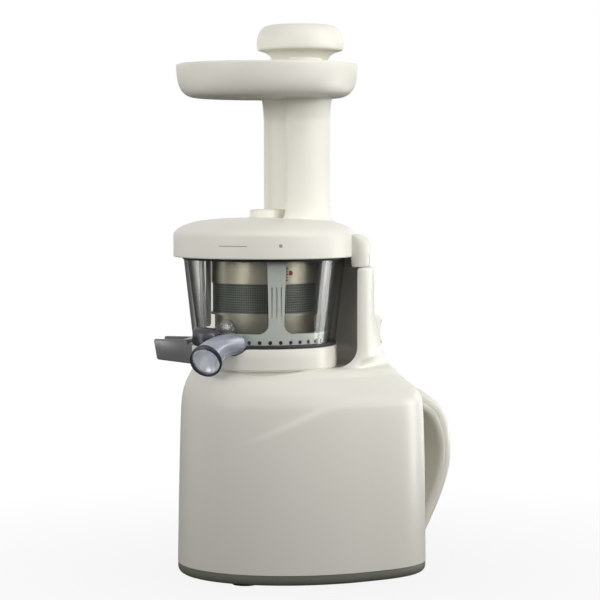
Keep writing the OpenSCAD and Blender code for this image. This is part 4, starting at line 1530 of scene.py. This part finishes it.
@dataclass
class Brush:
    """The turning brush frame with its windows, dimples and silicone wipers."""

    window_dir: float = 28.7    # middle of one of its windows
    pillars: int = 4
    teeth: int = 64
    tooth_dir: float = 14.9
    dimples: int = 38
    dimple_dir: float = 229.2
    dimple_z: float = 172.5
    dimple_r: float = 1.5
    foot_z: float = 178         # from here up its wall flares
    flare: float = 2 / 61.5

    def flared(self, radius: float, z: float) -> tuple[float, float]:
        """Returns a point of the wall's profile, by its radius at the foot of the flare."""
        return radius + self.flare * (z - self.foot_z), z

    def dimple(self, name: str, radius: float, near: float, far: float) -> bpy.types.Object:
        """Returns a short bar through the first dimple, between two distances from the axis."""
        return rod(name, radius, around(near, self.dimple_dir, self.dimple_z),
                   around(far, self.dimple_dir, self.dimple_z), 14)

    def frame(self) -> None:
        """Turns the frame and cuts its inner teeth, windows, dimples and pillar grooves."""
        outer, inner = 46, 43.4
        shell = turned("brush_cage", [
            (38.6, 169), (outer, 169), (outer + 0.05, self.foot_z)]
            + [self.flared(outer, z) for z in (195, 215, 235)]
            + [(47.98, 238.9), (47.6, 239.5), (46, 239.5), (45.4, 239)]
            + [self.flared(inner, z) for z in (235, 215, 195)]
            + [(inner, self.foot_z), (inner, 175.6), (38.6, 175.6)])
        tooth = ((-0.30, 40.6), (-0.18, 39.0), (0.18, 39.0), (0.30, 40.6))
        ring = loft("ring_gear", [[around(r, self.tooth_dir + (k + turn) * 360 / self.teeth, z)
                                   for k in range(self.teeth) for turn, r in tooth]
                                  for z in (160, 175.7)])
        window = punch("window", rounded_box(28.5, 178.5, 234, 7, 6), (30, 60), self.window_dir)
        combine(shell, [ring] + ring_of(window, self.pillars), Join.CUT)

        pillar_dir = self.window_dir + 180 / self.pillars
        small = ring_of(self.dimple("dimple", self.dimple_r, 44.6, 48), self.dimples)
        for aside in (-3.4, 0, 3.4):
            groove = punch("groove", rounded_box(0.55, 190, 212, 0.5, 2), (45.7, 50), pillar_dir,
                           aside)
            small += ring_of(groove, self.pillars)
        combine(shell, [gather(small)], Join.CUT)
        present(shell, "brush_cage", "brush", F.pale_pp, ("brush_frame",), 35)
        # dark discs in the dimples' floors: painted shade for the dimples' hollows
        floor = self.dimple("dimple_shade_disc", self.dimple_r - 0.05, 44.65, 45.2)
        present(gather(ring_of(floor, self.dimples)), "dimple_shade_discs", "brush",
                F.rubber)

    def wipers(self) -> None:
        """Lofts a wiper with a thin edge and copies it to every pillar."""
        pillar_dir = self.window_dir + 180 / self.pillars
        side = [(43.1, 182), (43.1, 232), (40.4, 232), (39.4, 230), (39.3, 184), (40.4, 182)]
        root, tip = 1.2, 0.66
        blade = loft("wiper", [[outward(rho, half * (root if rho > 42 else tip), z, pillar_dir)
                                for rho, z in side] for half in (-1, 1)])
        present(gather(ring_of(blade, self.pillars)), "wiper_blades", "brush",
                F.silicone, ("brush_wipers",))

    def build(self) -> None:
        """Builds the brush."""
        self.frame()
        self.wipers()


@dataclass
class Strainer:
    """The steel strainer: two rolled bands with a perforated wall between them."""

    mesh_r: float = 37.5
    marks_dir: float = 267.7    # where the scale is printed on the upper band

    def bands(self) -> None:
        """Turns the two bands and their perforated wall."""
        r, band = self.mesh_r, 1.6
        cup = turned("cup", [(17, 176), (35, 176), (35.8, 176.4), (36, 177.2), (36, 191),
                             (r + 1.2, 191), (r + 1.2, 192.5), (r - 2.6, 192.5), (36 - band, 191.2),
                             (36 - band, 177.4), (17, 177.4)], 96)
        top = turned("top", [(r + 0.7, 213.5), (r + 1, 213.8), (r + 1, 239.4), (r + 0.6, 240),
                             (r - 1.2, 240), (r - band, 239.6), (r - band, 213.5)], 96)
        rib = spoke("rib", (r - 1.8, r - 1), 1.5, (191.6, 214.5), 0)
        combine(cup, ring_of(rib, 6) + [top], Join.ADD)
        combine(cup, [spoke("exit", (20, 33), 11, (150, 180), Drum().pulp_dir)], Join.CUT)
        present(cup, "strainer_bands", "drum", F.rolled_steel,
                ("strainer_frame",))
        wall = turned("strainer_wall", [(r - 0.8, 192.5), (r, 192.5), (r, 203), (r, 213.5),
                                        (r - 0.8, 213.5), (r - 0.8, 203)], 128)
        present(wall, "strainer_wall", "drum", F.mesh, ("strainer_mesh",))

    def marks(self) -> None:
        """Prints the scale and its dot on the upper band."""
        r, ink = self.mesh_r + 1.02, 0.12
        ticks = [patch("tick", r, self.marks_dir, 216.6 + 2.1 * k, 0.65 if k % 2 else 0.9, 0.55,
                       ink) for k in range(5)]
        present(gather(ticks), "scale_ticks", "drum", F.black_ink)
        dot = patch("dot", r, self.marks_dir + 4.6, 221.8, 1.7, 1.7, ink, round_one=True)
        present(dot, "setting_dot", "drum", F.red_ink)

    def build(self) -> None:
        """Builds the strainer."""
        self.bands()
        self.marks()


# ---------------------------------------------------------------- lid, tray and pusher

@dataclass
class Top:
    """The lid with its feed chute, the tray that slips over the chute, and the pusher."""

    lid_r: float = 66
    skirt_low: float = 232.5
    chute_x: float = 25.6
    chute_r: float = 25
    bite_r: float = 17.4
    lug_half: float = 45
    lug_nose: float = 6.5   # degrees over which the lug's ends are rounded
    horn_r: float = 3.6     # rounding between the bite and the back
    wall: float = 2.4
    chute_top: float = 349
    tray_x: float = 2.3
    tray_r: float = 66
    tray_low: float = 347
    cap_x: float = 29.4
    # the chute's foot widens into the dome: height, how much
    flare: tuple[tuple[float, float], ...] = (
        (253, 5.4), (256.8, 5.0), (257.8, 3.7), (259, 2.5), (260.5, 1.5), (262.5, 0.7),
        (265, 0.2), (268, 0), (300, 0), (325, 0), (349, 0))

    def crescent(self, back: float, bite: float, z: float, n: int = 48) -> list[Point]:
        """Draws the chute's outline: a circle with a round bite, and round horns between.

        Args:
            back: The circle's radius.
            bite: The bite's radius, about the drum's axis.
            z: The height.
            n: Points on the back; half as many on the bite, and seven on each horn.

        Returns:
            The outline's points.
        """
        horn = max(0.5, self.horn_r + back - self.chute_r)
        x = ((bite + horn) ** 2 - (back - horn) ** 2 + self.chute_x ** 2) / (2 * self.chute_x)
        y = math.sqrt((bite + horn) ** 2 - x ** 2)
        reach = math.degrees(math.atan2(y, x - self.chute_x))
        inner = math.degrees(math.atan2(y, x))
        turn, m = 180 + inner - reach, n // 2
        circle = [around(back, reach - 2 * reach * k / n, z) for k in range(n + 1)]
        hollow = [around(bite, -inner + 2 * inner * k / m, z) for k in range(m + 1)]
        round_it = [around(horn, -reach - turn * k / 8, z) for k in range(1, 8)]
        return ([(self.chute_x + u, v, z) for u, v, _ in circle]
                + [(x + u, v - y, z) for u, v, _ in round_it] + hollow
                + [(x + u, y - v, z) for u, v, _ in reversed(round_it)])

    def lug_section(self, degrees: float) -> list[Point]:
        """Draws a section of the lug over the column, which fades out at both ends.

        Args:
            degrees: The section's direction from the drum's axis.

        Returns:
            The section's points.
        """
        u = min(1.0, max(0.0, (self.lug_half - abs(degrees)) / self.lug_nose))
        k = math.sqrt(1 - (1 - u) ** 2)
        out = self.lid_r - 0.6 + 11.6 * k
        low = 233.2 - 7.9 * min(1.0, 4 * k)
        heel = min(self.lid_r + 0.5 * k, out - 1.2 * k)
        side = [(62.5, 233.4), (self.lid_r - 0.8, 233.2), (heel, low), (out - 1.2 * k, low),
                (out - 0.3 * k, low + 0.3 * k), (out, low + 1.2 * k), (out, 241.5),
                (out - 0.4 * k, 243.4), (out - 1.4 * k, 245.3), (out - 3.0 * k, 246.9),
                (out - 5.5 * k, 248.1), (64.2, 249.2), (62.5, 247)]
        return [around(rho, degrees, z) for rho, z in side]

    def lid(self) -> None:
        """Turns the dome and joins boss, chute and lug to it."""
        r, low = self.lid_r, self.skirt_low
        outer = curve([(r, 247.5), (r - 0.35, 249.6), (r - 1.7, 251.4), (62, 253.2), (57, 255.6),
                       (50, 257.7), (40, 259.1), (30, 259.9), (16, 260.4), (11.8, 260.5)], 3)
        boss = [(10.9, 260.9), (10.5, 262), (10.5, 264.6), (10.1, 265.9), (9.2, 266.5)]
        profile = ([(61.5, low), (r - 0.5, low), (r, low + 0.6)] + list(outer) + boss
                   + [(6.5, 266.5), (6.5, 252), (9.5, 252), (9.5, 257.4), (30, 256.8), (50, 254.8),
                      (56, 252.4), (60, 249.2), (61.5, 247)])
        dome = turned("lid_shell", profile, 160)
        chute = loft("chute", [self.crescent(self.chute_r + o, self.bite_r - min(o, 5), z)
                               for z, o in self.flare])
        round_chosen(chute, lambda e: all(v.co.z > (self.chute_top - 0.5) * MM for v in e.verts),
                     0.7, 2)
        lug = loft("lug", [self.lug_section(self.lug_half * math.sin(math.radians(a)))
                            for a in range(-90, 91, 5)])
        tidy(lug)
        cap = rod("cap", 9.1, (0, 0, 264.4), (0, 0, 266.49), 64)
        bridge = loft("bridge", [[(0.2, -w, z), (23, -w, z), (23, w, z), (0.2, w, z)]
                                 for w, z in ((10.48, 256), (10.48, 264.6), (10.08, 265.88),
                                              (9.2, 266.48))])
        combine(dome, [chute, lug, bridge, cap], Join.ADD)
        cutters = [
            loft("throat", [self.crescent(self.chute_r - self.wall, self.bite_r + self.wall, z)
                            for z in (240, self.chute_top + 0.5)]),
            turned("room", [(12, 250), (54, 250), (54, 253.8), (12, 256.0)], 96),
        ]
        combine(dome, cutters, Join.CUT)
        present(dome, "lid_shell", "lid", F.ivory, ("lid",), 30)

        dash = turned("lid_dash", [(r - 0.1, 241.4), (r + 0.05, 241.4), (r + 0.08, 241.7),
                                   (r + 0.05, 242.0), (r - 0.1, 242.0)], 24, start=214.2, sweep=18)
        present(dash, "lid_dash", "lid", F.grey_ink)
        dot = patch("lid_dot", r, 253.0, 242.0, 1.25, 1.25, 0.08)
        present(dot, "lid_dot", "lid", F.grey_ink)

    def tray(self) -> None:
        """Turns the tray, cuts the chute's mouth in it, and builds its sleeve."""
        r, low = self.tray_r, self.tray_low
        outer = curve([(r - 16, low), (r - 10.5, low + 0.8), (r - 6, low + 3.2), (r - 3, low + 7.2),
                       (r - 1.2, low + 12.5), (r - 0.3, low + 18.5), (r, low + 23.4)], 4)
        rim = [(r - 0.3, low + 24.0), (r - 1.2, low + 24.4), (r - 2.3, low + 24.2),
               (r - 3, low + 23.2)]
        inner = curve([(r - 3.4, low + 18), (r - 4.4, low + 12.2), (r - 7, low + 7.2),
                       (r - 11, low + 4.2), (r - 17, low + 2.8)], 4)
        dish = turned("tray_dish", [(0, low)] + list(outer) + rim + list(inner)
                      + [(0, low + 2.8)], 160, solid=True, origin=(self.tray_x, 0, 0))
        gap = 0.12
        sleeve_r, sleeve_bite = self.chute_r + gap, self.bite_r - gap
        cutters = [
            loft("seat", [self.crescent(sleeve_r, sleeve_bite, z) for z in (300, 349.4)]),
            loft("mouth", [self.crescent(self.chute_r - self.wall, self.bite_r + self.wall, z)
                           for z in (300, 400)])]
        combine(dish, cutters, Join.CUT)
        present(dish, "tray_dish", "tray", F.ivory, ("tray",))
        sleeve = loft("tray_collar", [
            self.crescent(sleeve_r + o, sleeve_bite - o, z)
            for z, o in ((332, 0.02), (333, 0.1), (336, 0.28), (339, 0.5), (341.5, 0.75),
                         (344, 1.05), (346, 1.4), (347.2, 1.7))])
        combine(sleeve, [loft("inside", [self.crescent(sleeve_r, sleeve_bite, z)
                                         for z in (300, 349)])], Join.CUT)
        present(sleeve, "tray_collar", "tray", F.ivory, ("tray_sleeve",))

    def pusher(self) -> None:
        """Turns the pusher's cap and joins its crescent shaft."""
        gap = 0.7
        back, bite = self.chute_r - self.wall - gap, self.bite_r + self.wall + gap
        foot = ((266, 0.8), (266.8, 0.2), (268, 0), (320, 0), (376, 0))
        shaft = loft("pusher", [self.crescent(back - o, bite + o, z) for z, o in foot])
        side = curve([(19.0, 372), (19.3, 373.4), (20.3, 375.6), (22.4, 378.3), (25.4, 380.3),
                      (28.4, 381.3), (30.5, 382.0), (31.4, 383.2), (31.7, 385.4), (31.5, 388.8),
                      (30.8, 392.4), (29.2, 396.0), (26.4, 398.8), (22.4, 400.3), (16, 400.85),
                      (9, 400.96)], 3)
        cap = turned("cap", [(0, 362), (18.6, 362), (19, 363)] + list(side) + [(0, 400.98)], 128,
                     solid=True, origin=(self.cap_x, 0, 0))
        combine(shaft, [cap], Join.ADD)
        inside = loft("inside", [self.crescent(back - 2.2, bite + 2.2, z) for z in (260, 366)])
        combine(shaft, [inside], Join.CUT)
        present(shaft, "pusher_body", "pusher", F.ivory, ("pusher",))

    def build(self) -> None:
        """Builds lid, tray and pusher."""
        self.lid()
        self.tray()
        self.pusher()


# ---------------------------------------------------------------- what is inside

@dataclass(frozen=True)
class Works:
    """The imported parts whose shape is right: motor, gears, seals and fittings."""

    groups: tuple[tuple[Finish, tuple[str, ...]], ...] = (
        (F.turned_steel, ("pan_screws", "handle_screws", "rocker_pin", "motor_top_bracket",
                          "motor_bottom_bracket", "motor_bolts", "rotor_shaft", "motor_pinion",
                          "gearbox_screws", "idler_pin", "output_gear", "drive_shaft")),
        (F.stator_steel, ("motor_stator", "rotor_core")),
        (F.copper, ("motor_windings",)),
        (F.bronze, ("motor_bushes", "output_bushes", "lid_bush")),
        (F.acetal, ("lock_plunger", "gearbox_housing", "gearbox_cover", "idler_gear",
                    "planet_gear_a", "planet_gear_b")),
        (F.pei, ("auger",)),
        (F.black_nylon, ("switch_block", "micro_switch", "cooling_fan")),
        (F.board, ("circuit_board",)),
        (F.film, ("capacitor",)),
        (F.rubber, ("feet", "cord_gland", "shaft_seal")),
        (F.silicone, ("pulp_plug", "bowl_seal", "lid_gasket")))

    def build(self) -> None:
        """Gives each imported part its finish."""
        for finish, names in self.groups:
            for name in names:
                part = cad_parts[name]
                if not part.material_slots:
                    part.data.materials.append(None)
                for holder in part.material_slots:
                    holder.material = finish.material()
                LOG.info("%s: dressed in %s", name, finish.name)


# ---------------------------------------------------------------- studio

@dataclass(frozen=True)
class Lamp:
    """A soft box: where it hangs as seen from the machine, its size and its power."""

    name: str
    azimuth: float
    rise: float             # how far above level it is seen, in degrees
    distance: float         # the rest in metres
    width: float
    height: float
    aim: float              # height of what it shines at
    spread: float           # opening of its beam, in degrees
    watts: float
    glint: bool = False     # True for a strip round the drum that only shows as a reflection

    def hang(self) -> None:
        """Adds the lamp and turns it to what it shines at."""
        a, e = math.radians(self.azimuth), math.radians(self.rise)
        target = Vector((DRUM_AXIS_X * MM if self.glint else 0.0, 0.0, self.aim))
        away = Vector((math.cos(a) * math.cos(e), math.sin(a) * math.cos(e), math.sin(e)))
        bpy.ops.object.select_all(action="DESELECT")
        bpy.ops.object.light_add(type="AREA", location=target + away * self.distance)
        lamp = bpy.context.active_object
        lamp.name = self.name
        lamp.data.shape, lamp.data.energy = "RECTANGLE", self.watts
        lamp.data.size, lamp.data.size_y = self.width, self.height
        lamp.data.spread = math.radians(self.spread)
        lamp.rotation_euler = (-away).to_track_quat("-Z", "Y").to_euler()
        lamp.visible_diffuse = not self.glint


@dataclass
class Studio:
    """Camera, floor, soft lamps and a white surrounding."""

    camera_place: Point = (-0.7693, -1.4249, 0.2925)
    view_degrees: float = -28
    pitch_degrees: float = 3.29
    lens: float = 132
    world_light: float = 0.38
    floor_size: float = 30
    shadow_share: float = 0.1       # how much of the lit floor shows below the machine
    shadow_reach: tuple[float, float] = (0.1, 0.45)     # metres over which it fades to white
    lamps: tuple[Lamp, ...] = (
        Lamp("key", 312, 6, 1.3, 0.5, 0.5, 0.38, 45, 0.52),
        Lamp("key_side", 340, 5, 1.3, 0.5, 0.5, 0.38, 45, 0.17),
        Lamp("key_near", 285, 12, 1.3, 0.4, 0.5, 0.38, 45, 0.24),
        Lamp("key_high", 305, 38, 1.3, 0.6, 0.6, 0.36, 55, 0.66),
        Lamp("left", 197, 7, 1.3, 0.5, 0.5, 0.36, 45, 0.48),
        Lamp("left_side", 170, 10, 1.3, 0.5, 0.5, 0.38, 45, 0.22),
        Lamp("left_strip", 144.6, 0, 0.5, 0.06, 0.24, 0.14, 180, 0.1, True),
        Lamp("right_strip", 344, 0, 0.5, 0.12, 0.24, 0.14, 180, 1.2, True),
        Lamp("rim_strip", 16.4, 0, 0.5, 0.05, 0.24, 0.14, 180, 0.35, True))

    def camera(self) -> None:
        """Stands the camera where the photograph was taken from."""
        a, p = math.radians(self.view_degrees), math.radians(self.pitch_degrees)
        ahead = Vector((-math.sin(a) * math.cos(p), math.cos(a) * math.cos(p), -math.sin(p)))
        bpy.ops.object.select_all(action="DESELECT")
        bpy.ops.object.camera_add(location=self.camera_place)
        camera = bpy.context.active_object
        camera.rotation_euler = ahead.to_track_quat("-Z", "Y").to_euler()
        camera.data.lens, camera.data.sensor_width = self.lens, 36
        camera.data.clip_start, camera.data.clip_end = 0.05, 20
        bpy.context.scene.camera = camera

    def shows_white(self, tree: bpy.types.NodeTree) -> bpy.types.NodeSocket:
        """Finds the rays that see the world white.

        Args:
            tree: The world's tree.

        Returns:
            1 for rays from the camera, from gloss and through glass.
        """
        rays = add_node(tree, "LightPath").outputs
        first = maths(tree, "MAXIMUM", rays["Is Camera Ray"], rays["Is Glossy Ray"])
        return maths(tree, "MAXIMUM", first, rays["Is Transmission Ray"])

    def surroundings(self) -> None:
        """Makes the world white to look at and softer as a light."""
        world = bpy.data.worlds.new("studio")
        bpy.context.scene.world = world
        world.use_nodes = True
        tree = world.node_tree
        seen = add_node(tree, "Background", Color=(1, 1, 1, 1), Strength=1.0)
        light = tree.nodes["Background"]
        light.inputs["Color"].default_value = linear("#F7F7FA")
        light.inputs["Strength"].default_value = self.world_light
        mix = add_node(tree, "MixShader", in0=self.shows_white(tree), in1=light.outputs[0],
                       in2=seen.outputs[0])
        tree.links.new(mix.outputs[0], tree.nodes["World Output"].inputs["Surface"])

    def floor(self) -> None:
        """Lays the pale floor, which keeps a faint shadow."""
        bpy.ops.object.select_all(action="DESELECT")
        bpy.ops.mesh.primitive_plane_add(size=self.floor_size, location=(0, 0, 0))
        floor = bpy.context.active_object
        floor.name = "floor"
        with editing(floor):
            bpy.ops.mesh.select_all(action="SELECT")
            bpy.ops.mesh.subdivide(number_cuts=3)
        coat = bpy.data.materials.new("matt_white_paint")
        coat.use_nodes = True
        tree = coat.node_tree
        shader = tree.nodes["Principled BSDF"]
        shader.inputs["Base Color"].default_value = linear("#5C5B59")
        shader.inputs["Roughness"].default_value = 0.8
        glow = add_node(tree, "Emission", Color=(1, 1, 1, 1), Strength=1.0)
        place = add_node(tree, "TexCoord").outputs["Object"]
        far = add_node(tree, "VectorMath", {"operation": "LENGTH"}, in0=place).outputs["Value"]
        near, white = self.shadow_reach
        fade = add_node(tree, "MapRange", Value=far, From_Min=near, From_Max=white,
                        To_Min=1 - self.shadow_share, To_Max=1.0).outputs["Result"]
        rays = add_node(tree, "LightPath").outputs
        straight = maths(tree, "MAXIMUM", rays["Is Camera Ray"], rays["Is Transmission Ray"])
        share = maths(tree, "MULTIPLY", straight, fade)
        mix = add_node(tree, "MixShader", in0=share, in1=shader.outputs[0], in2=glow.outputs[0])
        tree.links.new(mix.outputs[0], tree.nodes["Material Output"].inputs["Surface"])
        floor.data.materials.append(coat)

    def light(self) -> None:
        """Hangs the lamps."""
        for lamp in self.lamps:
            lamp.hang()

    def build(self) -> None:
        """Sets the stage."""
        self.camera()
        self.surroundings()
        self.floor()
        self.light()
        bpy.context.scene.view_settings.view_transform = "Standard"
        LOG.info("studio is set")


def main() -> None:
    """Builds the whole look."""
    logging.basicConfig(level=logging.INFO, format="%(name)s %(message)s")
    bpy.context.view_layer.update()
    Studio().build()
    outer = Housing().build()
    Handle().build(outer)
    bpy.data.objects.remove(outer)
    Switch().build()
    LockSpring().build()
    Drum().build()
    Brush().build()
    Strainer().build()
    Top().build()
    Works().build()


if __name__ == "__main__":
    main()
